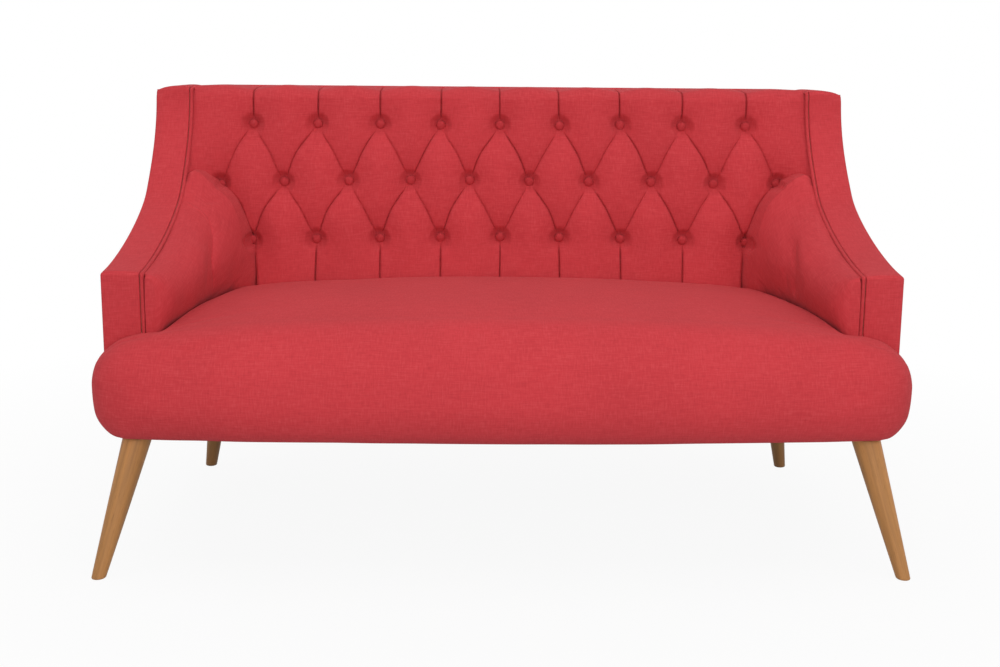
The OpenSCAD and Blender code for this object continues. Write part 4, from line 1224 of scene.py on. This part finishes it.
def arm_cushion_creases(rings, first, side):
    """Sinks the arm cushion's folds and seams and clears the buttons that stand in its crease."""
    out = rings.copy()
    x, y, z = np.moveaxis(rings, -1, 0)
    steps = np.gradient(rings, axis=1)
    lengths = np.linalg.norm(steps, axis=-1, keepdims=True)
    way = steps / np.maximum(lengths, 1e-6)
    inward = np.stack([way[..., 2], np.zeros_like(x), -way[..., 0]], -1)
    column = np.arange(rings.shape[1])
    share = np.clip((column - first) / (rings.shape[1] - 1 - first), 0, 1)[None, :]
    fold_y = np.interp(share, [0.2, 0.39, 0.49, 0.55, 0.62, 0.66, 0.7, 0.78, 0.86, 0.95, 1],
                       [-5, -12, -5, 12, 32, 47, 57, 74, 86, 93, 95])
    off = y - fold_y
    hollow = smooth(0.03, 0.3, share) * (1 - smooth(0.55, 0.9, share))
    if side < 0:
        groove = left_fold(off, share) + 3.5 * bell(off + 34, 32) * hollow
        small_fold = smooth(44, 56, y) * (1 - smooth(92, 112, y))
        groove = groove + 1.3 * small_fold * bell((share - 0.64) * 100, 1.4)
    else:
        groove = 9.0 * bell(off + 26, 46) * hollow
    front_seam = 0.9 * bell(y - ARM_Y - 7.5, 1.6)
    groove = groove + front_seam
    sunk = groove * (share > 0) * smooth(0.0, 0.06, 1 - share)
    wrinkle = 1.1 * ripple(y, z + x, 70, 21) + 0.4 * ripple(y, z + x, 24, 22)
    loose = smooth(0, 0.1, share), smooth(0, 0.08, 1 - share), smooth(4, 40, y - ARM_Y)
    sunk = sunk - wrinkle * loose[0] * loose[1] * loose[2]
    to_back = back_y(z, 0) - y
    sunk = sunk + 0.8 * np.exp(-np.maximum(to_back, 0) / 6) * (z > BACK_FOOT_Z - 30)
    out += inward * sunk[..., None]
    # The cushion gives way round each button that stands in its crease
    room = 14.0
    for place in ((side * LONG_END_X, ROWS_Z[1]), (side * SHORT_END_X, ROWS_Z[2])):
        button_x, button_z = drawn_button(*place)
        dx, dz = out[..., 0] - abs(button_x), out[..., 2] - button_z
        r = np.hypot(dx, dz)
        near = np.exp(-np.maximum(back_y(button_z, 0) - 16 - out[..., 1], 0) / 20) * (share > 0)
        push = ((r**4 + room**4) ** 0.25 - r) * near
        out[..., 0] += push * np.where(r > 1e-3, np.maximum(dx, 0.6 * r) / np.maximum(r, 1e-3), 1)
        out[..., 2] += push * 0.7 * dz / np.maximum(r, 1e-3)
    out[..., 0] = np.minimum(out[..., 0], INNER_X - 0.3)
    return out


# Arm bands, piping and outside covers


def make_arm_band(sizes, cloth, side):
    """The padded strip up the arm's front, along the swoop and over the wing."""
    points, sides = arm_edge(UNDERSIDE_Z)
    run = along(points)
    half = (OUTER_X - INNER_X) / 2
    middle = INNER_X + half
    inner_r, outer_r = 2.4, 5.0
    arc = np.radians(np.linspace(0, 90, 7))
    inner = [(INNER_X + 0.3 + inner_r * (1 - math.sin(t)), -inner_r * (1 - math.cos(t)))
             for t in arc[::-1]]
    outer = [(OUTER_X - outer_r * (1 - math.sin(t)), -outer_r * (1 - math.cos(t))) for t in arc]
    flat = [(mix(inner[-1][0], outer[0][0], t), 0.0) for t in np.linspace(0, 1, 9)[1:-1]]
    profile = np.array([(INNER_X + 0.3, -5.4), *inner, *flat, *outer, (OUTER_X, -5.6)])
    x = profile[:, 0]
    off_middle = np.clip(abs(x - middle) / half, 0, 1)
    crown = sizes.band_crown * 1000 * (1 - off_middle**2.6)
    height = profile[:, 1] + crown - 0.8
    height[0], height[-1] = profile[0, 1], profile[-1, 1]
    seam = 0.9 * bell(x - (OUTER_X - 4.5), 1.1)
    height[1:-1] -= seam[1:-1]
    fallen = np.clip((x - INNER_X) / (OUTER_X - INNER_X), 0, 1) ** 2.2
    rings = []
    for p, n, s in zip(points, sides, run):
        at = np.full_like(x, s)
        uneven = 0.45 * ripple(x, at, 60, 31 + side) + 0.2 * ripple(x, at, 21, 33)
        lift = height + uneven * (1 - off_middle**4)
        over_wing = smooth(WING_Z - 22, WING_Z - 4, p[1])
        lift = lift - corner_seams(s) - (6.5 * fallen - 1.0) * over_wing
        lift[0], lift[-1] = height[0], height[-1]
        rings.append(np.stack([x, p[0] + n[0] * lift, p[1] + n[1] * lift], -1))
    rings = np.array(rings)
    rings[..., 2] = np.maximum(rings[..., 2], UNDERSIDE_Z)
    shell = Shell()
    shell.grid(looped(rings), np.append(x, x[0])[None, :], run[:, None])
    shell.cap(rings[0], shares=(), flip=True, out=(0, 0, -1))
    shell.cap(rings[-1], shares=(), out=(0, 0, -1))
    piece = shell.add(of_side("arm_front", side), mirror=side < 0)
    smoother(piece)
    dress(piece, cloth, "fabric", of_side("arm_band", side))


def corner_seams(s):
    """The two small creases where the front panel meets the band over the arm."""
    corner = ARM_FRONT_Z - UNDERSIDE_Z
    return sum(d * math.exp(-(((s - corner - at) / 1.3) ** 2)) for d, at in ((1.3, -0.5), (0.8, 4.5)))


def piping_route():
    """The piping's centre line: up the arm's front edge, the swoop and over the wing."""
    points, sides = arm_edge(PAD_Z + 50, step=3.0)
    return points - sides * PIPING_R, sides


def make_piping(sizes, cloth, side):
    """The round piping cord in its bias-cut cloth."""
    points, sides = piping_route()
    run = along(points)
    around = np.linspace(0, 2 * np.pi, 14, endpoint=False)
    rings = []
    for p, n, s in zip(points, sides, run):
        r = sizes.cord_width * 500 * (1 + 0.02 * math.sin(s / 9) + 0.015 * math.sin(s / 3.7))
        x = INNER_X - PIPING_R + r * np.cos(around)
        out = r * np.sin(around)
        rings.append(np.stack([x, p[0] + n[0] * out, p[1] + n[1] * out], -1))
    shell = Shell()
    shell.tube(np.array(rings), run)
    shell.cap(rings[0], shares=(0.5,), flip=True, out=(0, 0, -1))
    shell.cap(rings[-1], shares=(0.5,), out=(0, 0, -1))
    piece = shell.add(of_side("piping", side), mirror=side < 0)
    dress(piece, cloth, "piping_fabric", of_side("arm_piping", side))


def make_outside_arm(cloth, side):
    """The stretched cover on the outside of one arm, turned under at its foot."""
    front = ARM_Y + BAND_T - 2.4
    rear = REAR_TOP_Y - 1
    points, sides = arm_edge(UNDERSIDE_Z)
    edge = points - sides * (BAND_T - 2.5)
    keep = (points[:, 0] > ARM_Y + 1) & (edge[:, 0] > ARM_Y + BAND_T - 2)
    edge = edge[keep & (edge[:, 0] < REAR_TOP_Y - 9)]
    edge = edge[np.argsort(edge[:, 0])]
    ys = np.concatenate([np.linspace(front, WING_Y, 56), np.linspace(WING_Y + 2, rear, 20)])
    rows = np.concatenate([[0, 0.004, 0.01, 0.02, 0.035], np.linspace(0.06, 1, 46)])
    top = np.interp(ys, edge[:, 0], edge[:, 1])
    y0, s = np.meshgrid(ys, rows, indexing="ij")
    z = mix(UNDERSIDE_Z, top[:, None], s)
    limit = rear_y(z) - COVER_PLAY
    # Low down the columns spread to the raked rear, and higher up they stand straight
    y = np.minimum(front + (y0 - front) * (limit - front) / (rear - front), limit)
    upright = smooth(ARM_FRONT_Z - 40, ARM_FRONT_Z + 30, z)
    y = np.where(z > ARM_FRONT_Z - 40, mix(y, np.minimum(y0, limit), upright), y)
    across = np.clip((y - front) / (limit - front), 0, 1)
    crown = 1.4 * np.sin(np.pi * across) * np.sin(np.pi * s) ** 0.5
    edge_round = 2.2 * np.exp(-(z - UNDERSIDE_Z) / 3.0)
    side_round = 1.0 * np.exp(-(y - front) / 3.0) + 1.6 * np.exp(-(limit - y) / 3.0)
    uneven = 0.5 * ripple(y, z, 130, 41) + 0.15 * ripple(y, z, 40, 42)
    x = OUTER_X - COVER_PLAY + crown + uneven - edge_round - side_round
    shell = Shell()
    shell.slab(np.stack([x, y, z], -1), np.stack([np.full_like(x, OUTER_X - 4), y, z], -1), (1, 2))
    piece = shell.add(of_side("outside_arm_cover", side), mirror=side < 0)
    dress(piece, cloth, "fabric", of_side("outside_arm", side))
    return piece


def make_outside_back(cloth):
    """The stretched cover on the rear, from the top rail down to the underside."""
    top_z = WING_Z - BAND_T
    end_x = OUTER_X - 0.5
    xs = np.linspace(-end_x, end_x, 120)
    s = np.concatenate([[0, 0.004, 0.01, 0.02], np.linspace(0.05, 0.97, 44), [0.985, 0.993, 1]])
    x, s = np.meshgrid(xs, s, indexing="ij")
    z = mix(UNDERSIDE_Z, top_z, s)
    crown = 1.6 * np.cos(np.pi * x / (2 * OUTER_X)) ** 0.7 * np.sin(np.pi * s) ** 0.6
    edges = 1.8 * np.exp(-(z - UNDERSIDE_Z) / 3) + 1.2 * np.exp(-(top_z - z) / 3)
    edges = edges + 1.8 * np.exp(-(end_x - abs(x)) / 3)
    y = rear_y(z) - COVER_PLAY + crown - edges
    y = y + 0.5 * ripple(x, z, 160, 51) + 0.15 * ripple(x, z, 45, 52)
    shell = Shell()
    shell.slab(np.stack([x, y, z], -1), np.stack([x, rear_y(z) - 4, z], -1), (0, 2))
    piece = shell.add("outside_back_cover")
    dress(piece, cloth, "fabric", "outside_back")
    return piece


# Legs

# How far a foot stands out to the side and to the rear of the leg's top
FRONT_SPLAY = (58, -66)
REAR_SPLAY = (40, 51)


def make_leg(sizes, wood, node):
    """One tapered, splayed leg with an eased foot, its grain along the leg."""
    low, high = span(node)
    side = 1 if high[0] > 0 else -1
    rear = high[1] > 0
    top_r, foot_r = sizes.leg_top_width * 500, sizes.leg_foot_width * 500
    ease = 2.6
    splay = REAR_SPLAY if rear else FRONT_SPLAY
    length = math.hypot(UNDERSIDE_Z, *splay)
    slant = math.hypot(*splay) / length
    # A round leg cut level at a slant is longer along its splay
    stretch = 1 / math.sqrt(1 - slant * slant)
    aim = math.atan2(splay[1], side * splay[0])
    near = (math.cos(aim), math.sin(aim))
    in_x = foot_r * (1 + (stretch - 1) * near[0] ** 2)
    in_y = foot_r * (1 + (stretch - 1) * near[1] ** 2)
    foot_x = (high[0] if side > 0 else low[0]) - side * in_x
    foot_y = (high[1] if rear else low[1]) - math.copysign(in_y, splay[1])
    foot_z = ease * (1 - np.cos(np.radians(np.linspace(0, 90, 7))))
    zs = np.concatenate([foot_z, np.linspace(6, UNDERSIDE_Z, 40)])
    around = np.linspace(0, 2 * np.pi, 72, endpoint=False)
    rings = []
    for z in zs:
        t = z / UNDERSIDE_Z
        rounding = 1 - math.sqrt(max(0.0, 1 - max(0.0, 1 - z / ease) ** 2))
        r = mix(foot_r, top_r, t) - ease * rounding
        r += 0.25 * math.sin(math.pi * t)
        cx, cy = foot_x - side * splay[0] * t, foot_y - splay[1] * t
        dx, dy = np.cos(around) * r, np.sin(around) * r
        lean = dx * near[0] + dy * near[1]
        dx, dy = dx + near[0] * lean * (stretch - 1), dy + near[1] * lean * (stretch - 1)
        rings.append(np.stack([cx + dx, cy + dy, np.full(len(around), z)], -1))
    shell = Shell()
    shell.tube(np.array(rings), zs)
    shell.cap(rings[0], shares=(0.6,), flip=True, out=(0, 0, -1))
    shell.cap(rings[-1], shares=(0.6,), out=(0, 0, 1))
    piece = shell.add(node + "_turned")
    # The grain's place in the board, another for each leg; the rear legs lie deep enough in it to take
    # the oak's painted shade
    points = vertices_of(piece) * 1000
    t = points[:, 2] / UNDERSIDE_Z
    across = points[:, 0] - foot_x + side * splay[0] * t + 37 * side
    through = points[:, 1] - foot_y + splay[1] * t + (90 if rear else 20)
    lengthways = points[:, 2] * length / UNDERSIDE_Z + 300 * side + (900 if rear else 0)
    write_vectors(piece.data, "grain", np.stack([across, through, lengthways], -1) / 1000)
    dress(piece, wood, "leg_wood", node)


# Stitches and staples


def seam_marks(name, route, spacing, size, sink, material, seed):
    """Small rounded marks, such as stitches or staples, laid along a route by a node tree.
    The route holds points, and the way out of the surface at each. Their size is long and wide,
    and they lie sunk in the surface by the given depth."""
    points, outs = route
    run = along(points)
    count = max(2, int(run[-1] / spacing))
    at = (np.arange(count) + 0.5) * run[-1] / count
    place = np.stack([np.interp(at, run, points[:, i]) for i in range(3)], -1)
    nearby = np.stack([np.interp(at + 0.5, run, points[:, i]) for i in range(3)], -1)
    out = np.stack([np.interp(at, run, outs[:, i]) for i in range(3)], -1)
    ways = nearby - place
    mesh = point_mesh(name + "_places", (place - out * sink) / 1000)
    for label, rows in (("way", ways), ("out", out)):
        rows = rows / np.maximum(np.linalg.norm(rows, axis=1, keepdims=True), 1e-9)
        write_vectors(mesh, label, rows)
    layout = Layout(name + "_layout")
    long = layout.input("Length", "NodeSocketFloat", size[0] / 1000)
    wide = layout.input("Width", "NodeSocketFloat", size[1] / 1000)
    seed = layout.input("Seed", "NodeSocketInt", seed)
    mark = layout.node("GeometryNodeMeshUVSphere", None, {"Segments": 8, "Rings": 6, "Radius": 0.5})
    shape = layout.node("ShaderNodeCombineXYZ", None, {0: long, 1: wide, 2: wide})
    formed = layout.node("GeometryNodeTransform", None, {"Geometry": mark["Mesh"], "Scale": shape[0]})
    way = layout.node("GeometryNodeInputNamedAttribute", {"data_type": "FLOAT_VECTOR"}, {"Name": "way"})
    up = layout.node("GeometryNodeInputNamedAttribute", {"data_type": "FLOAT_VECTOR"}, {"Name": "out"})
    turn = layout.node("FunctionNodeAxesToRotation", {"primary_axis": "X", "secondary_axis": "Z"},
                       {"Primary Axis": way["Attribute"], "Secondary Axis": up["Attribute"]})
    vary = layout.node("FunctionNodeRandomValue", {"data_type": "FLOAT_VECTOR"},
                       {"Min": (0.85, 0.9, 0.9), "Max": (1.1, 1.1, 1.1), "Seed": seed})
    spread = layout.node("GeometryNodeInstanceOnPoints", None,
                         {"Points": layout.start.outputs[0], "Instance": formed[0],
                          "Rotation": turn[0], "Scale": vary[0]})
    layout.finish(spread[0], material)
    return layout.apply(name, mesh)


def make_stitches(sizes, thread):
    """Hand stitches that close the outside covers: up the rear corners and along the top."""
    routes = {}
    zs = np.linspace(UNDERSIDE_Z + 12, WING_Z - BAND_T - 10, 60)
    for side in (-1, 1):
        points = np.stack([np.full_like(zs, side * (OUTER_X - 3.2)), rear_y(zs) - COVER_PLAY, zs], -1)
        routes[of_side("rear_stitches", side)] = points, [side * 0.25, 0.95, 0]
    xs = np.linspace(-INNER_X + 6, INNER_X - 6, 60)
    z = WING_Z - BAND_T + 0.6
    points = np.stack([xs, np.full_like(xs, rear_y(z) - 0.7), np.full_like(xs, z)], -1)
    routes["rear_stitches_top"] = points, [0, 0.97, 0.2]
    for name, (points, out) in routes.items():
        outs = np.tile(out, (len(points), 1))
        piece = seam_marks(name, (points, outs), sizes.stitch_spacing * 1000,
                           (sizes.stitch_length * 1000, 0.9), 0.0, thread, seed=3)
        dress(piece, None, "fabric")


def make_staples(steel):
    """Staples that hold the underside's lining to the rails."""
    z = floor_cloth_low[2]
    inset = 7
    spacing, length, width = 38, 10, 1.1
    xs = np.linspace(-500, 500, 40)
    front = [(x, float(rail_y(x)) + inset, z) for x in xs]
    rear = [(x, floor_cloth_high[1] - inset, z) for x in np.linspace(500, -500, 40)]
    for name, line in (("front", front), ("rear", rear)):
        points = np.array(line)
        outs = np.tile([0, 0, -1], (len(points), 1))
        piece = seam_marks("lining_staples_" + name, (points, outs), spacing, (length, width), -0.25,
                           steel, seed=9)
        dress(piece, None, "steel")


# Stage


def make_camera():
    """The camera, in front of the sofa and a little above it."""
    data = bpy.data.cameras.new("front_camera")
    data.lens = 50
    data.sensor_width = 36
    camera = new_object("front_camera", data)
    aside = Matrix.Rotation(math.radians(-1.2), 4, "Z")
    place = aside @ Matrix.Translation((-0.002, -2.4425, 0.825))
    pitch = Matrix.Rotation(math.pi / 2 - math.radians(11.26), 4, "X")
    camera.matrix_world = place @ pitch @ Matrix.Rotation(math.radians(0.5), 4, "Z")
    bpy.context.scene.camera = camera


def area_lamp(name, place, aim, size, power):
    """One soft square lamp turned towards a point."""
    data = bpy.data.lights.new(name, "AREA")
    data.shape = "RECTANGLE"
    data.size, data.size_y = size
    data.energy = power
    lamp = new_object(name, data)
    way = Vector(place) - Vector(aim)
    lamp.matrix_world = Matrix.Translation(place) @ way.to_track_quat("Z", "Y").to_matrix().to_4x4()


def make_stage(sizes):
    """Pale floor, soft lamps and white surroundings."""
    reach = 30.0
    corners = [(-reach, -reach, 0), (reach, -reach, 0), (reach, reach, 0), (-reach, reach, 0)]
    mesh = bpy.data.meshes.new("studio_floor")
    mesh.from_pydata(corners, [], [(0, 1, 2, 3)])
    mesh.materials.append(white_floor("studio_floor", (0.62, 0.62, 0.62), 1.7))
    new_object("studio_floor", mesh)
    world = bpy.data.worlds.new("studio")
    bpy.context.scene.world = world
    world.use_nodes = True
    nodes, links = world.node_tree.nodes, world.node_tree.links
    nodes.clear()
    both, output = nodes.new("ShaderNodeMixShader"), nodes.new("ShaderNodeOutputWorld")
    links.new(seen_directly(world.node_tree), both.inputs[0])
    for slot, strength in ((1, sizes.room_light), (2, 1.0)):
        white = nodes.new("ShaderNodeBackground")
        white.inputs["Color"].default_value = (1, 1, 1, 1)
        white.inputs["Strength"].default_value = strength
        links.new(white.outputs[0], both.inputs[slot])
    links.new(both.outputs[0], output.inputs[0])
    area_lamp("front_softbox", (0.3, -3.0, 1.3), (0, 0, 0.4), (3.4, 1.6), sizes.front_light)
    area_lamp("top_softbox", (0, -0.4, 3.4), (0, 0, 0.4), (3.4, 2.4), sizes.top_light)
    area_lamp("left_softbox", (-3.2, -1.6, 1.7), (0, 0, 0.5), (1.8, 1.8), sizes.side_light)
    area_lamp("right_softbox", (3.2, -1.6, 1.7), (0, 0, 0.5), (1.8, 1.8), sizes.side_light)
    bpy.context.scene.view_settings.view_transform = "Standard"


# Properties, operators and panel


def length_property(name, description, default):
    """A small length that a user may change."""
    return bpy.props.FloatProperty(name=name, description=description, default=default, min=0,
                                   unit="LENGTH", precision=4)


class SofaUpholstery(bpy.types.PropertyGroup):
    """Sizes and colours of the cloth and padding"""

    cloth_colour: bpy.props.FloatVectorProperty(
        name="Cloth colour", description="Colour of the woven cloth", subtype="COLOR", size=3,
        default=(0.56, 0.044, 0.053), min=0, max=1)
    weave: length_property("Weave", "Distance between neighbouring threads", 0.0009)
    slub: bpy.props.FloatProperty(
        name="Slub", description="How strongly thick and thin threads show", default=0.42, min=0, max=1,
        subtype="FACTOR")
    pillow: length_property("Pillow height", "Fullness of a diamond over its pleats", 0.009)
    pleat: length_property("Pleat depth", "How deep the cloth beside a pleat is sunk", 0.002)
    fold: length_property("Fold depth", "How deep a pleat itself is folded in", 0.0029)
    seat_fill: length_property("Seat fill", "Furthest that the seat's filling pushes its cover", 0.007)
    seat_edge_roll: length_property("Seat edge", "Radius of the seat's edge beside the arms", 0.014)
    band_crown: length_property("Band crown", "Fullness of the padded band over the arm", 0.0026)
    cord_width: length_property("Piping", "Width of the piping cord in its cover", 0.0066)
    button_width: length_property("Button width", "Width of a covered button", 0.018)
    button_height: length_property("Button height", "Height of a covered button", 0.007)
    stitch_spacing: length_property("Stitch spacing", "Distance between hand stitches", 0.011)
    stitch_length: length_property("Stitch length", "Length of one hand stitch", 0.0055)


class SofaLegs(bpy.types.PropertyGroup):
    """Sizes and colour of the legs"""

    wood_colour: bpy.props.FloatVectorProperty(
        name="Wood colour", description="Colour of the oiled oak", subtype="COLOR", size=3,
        default=(0.5, 0.232, 0.076), min=0, max=1)
    leg_top_width: length_property("Leg top", "Width of a leg at the underside", 0.046)
    leg_foot_width: length_property("Leg foot", "Width of a leg at the floor", 0.022)


class SofaStage(bpy.types.PropertyGroup):
    """Light of the plain studio"""

    room_light: bpy.props.FloatProperty(
        name="Room light", description="Strength of the light from all round", default=0.42, min=0)
    front_light: bpy.props.FloatProperty(
        name="Front light", description="Power of the soft lamp in front", default=46.0, min=0,
        unit="POWER")
    top_light: bpy.props.FloatProperty(
        name="Top light", description="Power of the soft lamp above", default=40.0, min=0, unit="POWER")
    side_light: bpy.props.FloatProperty(
        name="Side light", description="Power of each soft lamp at the sides", default=11.0, min=0,
        unit="POWER")


def cloth_of(scene, kind):
    """The woven cloth, bias-cut for piping, made once and shared; the piping's and the buttons' copies
    are a little darker.
    """
    name = {"cover": "red_linen", "piping": "red_linen_bias", "button": "red_linen_button"}[kind]
    if name not in bpy.data.materials:
        sizes = scene.sofa_upholstery
        colour = tuple(sizes.cloth_colour)
        tone = {"cover": 1.0, "piping": 0.96, "button": 0.92}[kind]
        woven_cloth(name, scaled(colour, tone), sizes.weave, sizes.slub, bias=kind == "piping")
    return bpy.data.materials[name]


class SOFA_OT_seat(bpy.types.Operator):
    """Makes the bench seat cushion"""

    bl_idname = "sofa.seat"
    bl_label = "Seat Cushion"
    bl_options = {"REGISTER", "UNDO"}

    def execute(self, context):
        scene = context.scene
        make_seat(scene.sofa_upholstery, cloth_of(scene, "cover"))
        return {"FINISHED"}


class SOFA_OT_back(bpy.types.Operator):
    """Makes the deep-buttoned back cushion"""

    bl_idname = "sofa.back"
    bl_label = "Buttoned Back"
    bl_options = {"REGISTER", "UNDO"}

    def execute(self, context):
        scene = context.scene
        make_back(scene.sofa_upholstery, cloth_of(scene, "cover"))
        return {"FINISHED"}


class SOFA_OT_buttons(bpy.types.Operator):
    """Makes the covered buttons"""

    bl_idname = "sofa.buttons"
    bl_label = "Covered Buttons"
    bl_options = {"REGISTER", "UNDO"}

    def execute(self, context):
        scene = context.scene
        make_buttons(scene.sofa_upholstery, cloth_of(scene, "button"))
        return {"FINISHED"}


class SOFA_OT_arms(bpy.types.Operator):
    """Makes the arm cushions, the bands over the arms and their piping"""

    bl_idname = "sofa.arms"
    bl_label = "Arms"
    bl_options = {"REGISTER", "UNDO"}

    def execute(self, context):
        scene = context.scene
        for side in (-1, 1):
            make_arm_cushion(cloth_of(scene, "cover"), side)
            make_arm_band(scene.sofa_upholstery, cloth_of(scene, "cover"), side)
            make_piping(scene.sofa_upholstery, cloth_of(scene, "piping"), side)
        return {"FINISHED"}


class SOFA_OT_covers(bpy.types.Operator):
    """Makes the outside covers and their hand stitches"""

    bl_idname = "sofa.covers"
    bl_label = "Outside Covers"
    bl_options = {"REGISTER", "UNDO"}

    def execute(self, context):
        scene = context.scene
        for side in (-1, 1):
            arm = make_outside_arm(cloth_of(scene, "cover"), side)
            low, high = vertices_of(arm).min(0), vertices_of(arm).max(0)
        rear = make_outside_back(cloth_of(scene, "cover"))
        make_stitches(scene.sofa_upholstery, cloth_of(scene, "button"))
        return {"FINISHED"}


class SOFA_OT_legs(bpy.types.Operator):
    """Makes the four tapered legs"""

    bl_idname = "sofa.legs"
    bl_label = "Legs"
    bl_options = {"REGISTER", "UNDO"}

    def execute(self, context):
        sizes = context.scene.sofa_legs
        wood = oiled_oak("golden_oak", tuple(sizes.wood_colour))
        for node in ("leg_front_left", "leg_front_right", "leg_rear_left", "leg_rear_right"):
            make_leg(sizes, wood, node)
        return {"FINISHED"}


class SOFA_OT_frame(bpy.types.Operator):
    """Gives the timber, plywood, webbing, lining and fastenings their finishes"""

    bl_idname = "sofa.frame"
    bl_label = "Frame Finishes"
    bl_options = {"REGISTER", "UNDO"}

    def execute(self, context):
        finishes = {
            "timber": bare_timber("beech", (0.6, 0.42, 0.25), (2.0, 60.0, 60.0)),
            "plywood": bare_timber("birch_plywood", (0.62, 0.47, 0.29), (50.0, 4.0, 12.0)),
            "steel": zinc_steel("zinc_plate", (0.6, 0.61, 0.62)),
            "webbing": open_weave("jute_webbing", (0.34, 0.25, 0.15), 0.0022, 0.7),
            "hessian": open_weave("hessian", (0.4, 0.31, 0.19), 0.0016, 0.6),
            "lining": open_weave("black_lining", (0.018, 0.018, 0.02), 0.0009, 0.5),
        }
        slots = {s["node"]: s["material_slot"] for s in frame["record"]["subparts"]}
        for name, node in frame["nodes"].items():
            if slots.get(name) in finishes and not node.hide_render:
                node.data.materials.clear()
                node.data.materials.append(finishes[slots[name]])
        make_staples(finishes["steel"])
        return {"FINISHED"}


class SOFA_OT_stage(bpy.types.Operator):
    """Makes the floor, the lamps and the camera"""

    bl_idname = "sofa.stage"
    bl_label = "Studio"
    bl_options = {"REGISTER", "UNDO"}

    def execute(self, context):
        make_camera()
        make_stage(context.scene.sofa_stage)
        return {"FINISHED"}


class SOFA_PT_making(bpy.types.Panel):
    """The sofa's pieces in the order they are made"""

    bl_idname = "SOFA_PT_making"
    bl_label = "Sofa"
    bl_space_type = "VIEW_3D"
    bl_region_type = "UI"
    bl_category = "Sofa"

    def draw(self, context):
        """Lists the sizes, then the operators."""
        for group in (context.scene.sofa_upholstery, context.scene.sofa_legs, context.scene.sofa_stage):
            box = self.layout.box()
            for name in group.bl_rna.properties.keys():
                if name not in ("rna_type", "name"):
                    box.prop(group, name)
        for operator in OPERATORS:
            self.layout.operator(operator.bl_idname)


GROUPS = {"sofa_upholstery": SofaUpholstery, "sofa_legs": SofaLegs, "sofa_stage": SofaStage}
OPERATORS = [SOFA_OT_stage, SOFA_OT_seat, SOFA_OT_back, SOFA_OT_buttons, SOFA_OT_arms, SOFA_OT_covers,
             SOFA_OT_legs, SOFA_OT_frame]


def register():
    """Registers the property groups, operators and panel."""
    for name, group in GROUPS.items():
        bpy.utils.register_class(group)
        setattr(bpy.types.Scene, name, bpy.props.PointerProperty(type=group))
    for operator in OPERATORS:
        bpy.utils.register_class(operator)
    bpy.utils.register_class(SOFA_PT_making)


def unregister():
    """Takes the panel, operators and property groups away again."""
    bpy.utils.unregister_class(SOFA_PT_making)
    for operator in reversed(OPERATORS):
        bpy.utils.unregister_class(operator)
    for name, group in GROUPS.items():
        delattr(bpy.types.Scene, name)
        bpy.utils.unregister_class(group)


def main():
    """Makes the sofa piece by piece."""
    register()
    for operator in OPERATORS:
        group, name = operator.bl_idname.split(".")
        getattr(getattr(bpy.ops, group), name)()


if __name__ == "__main__":
    main()
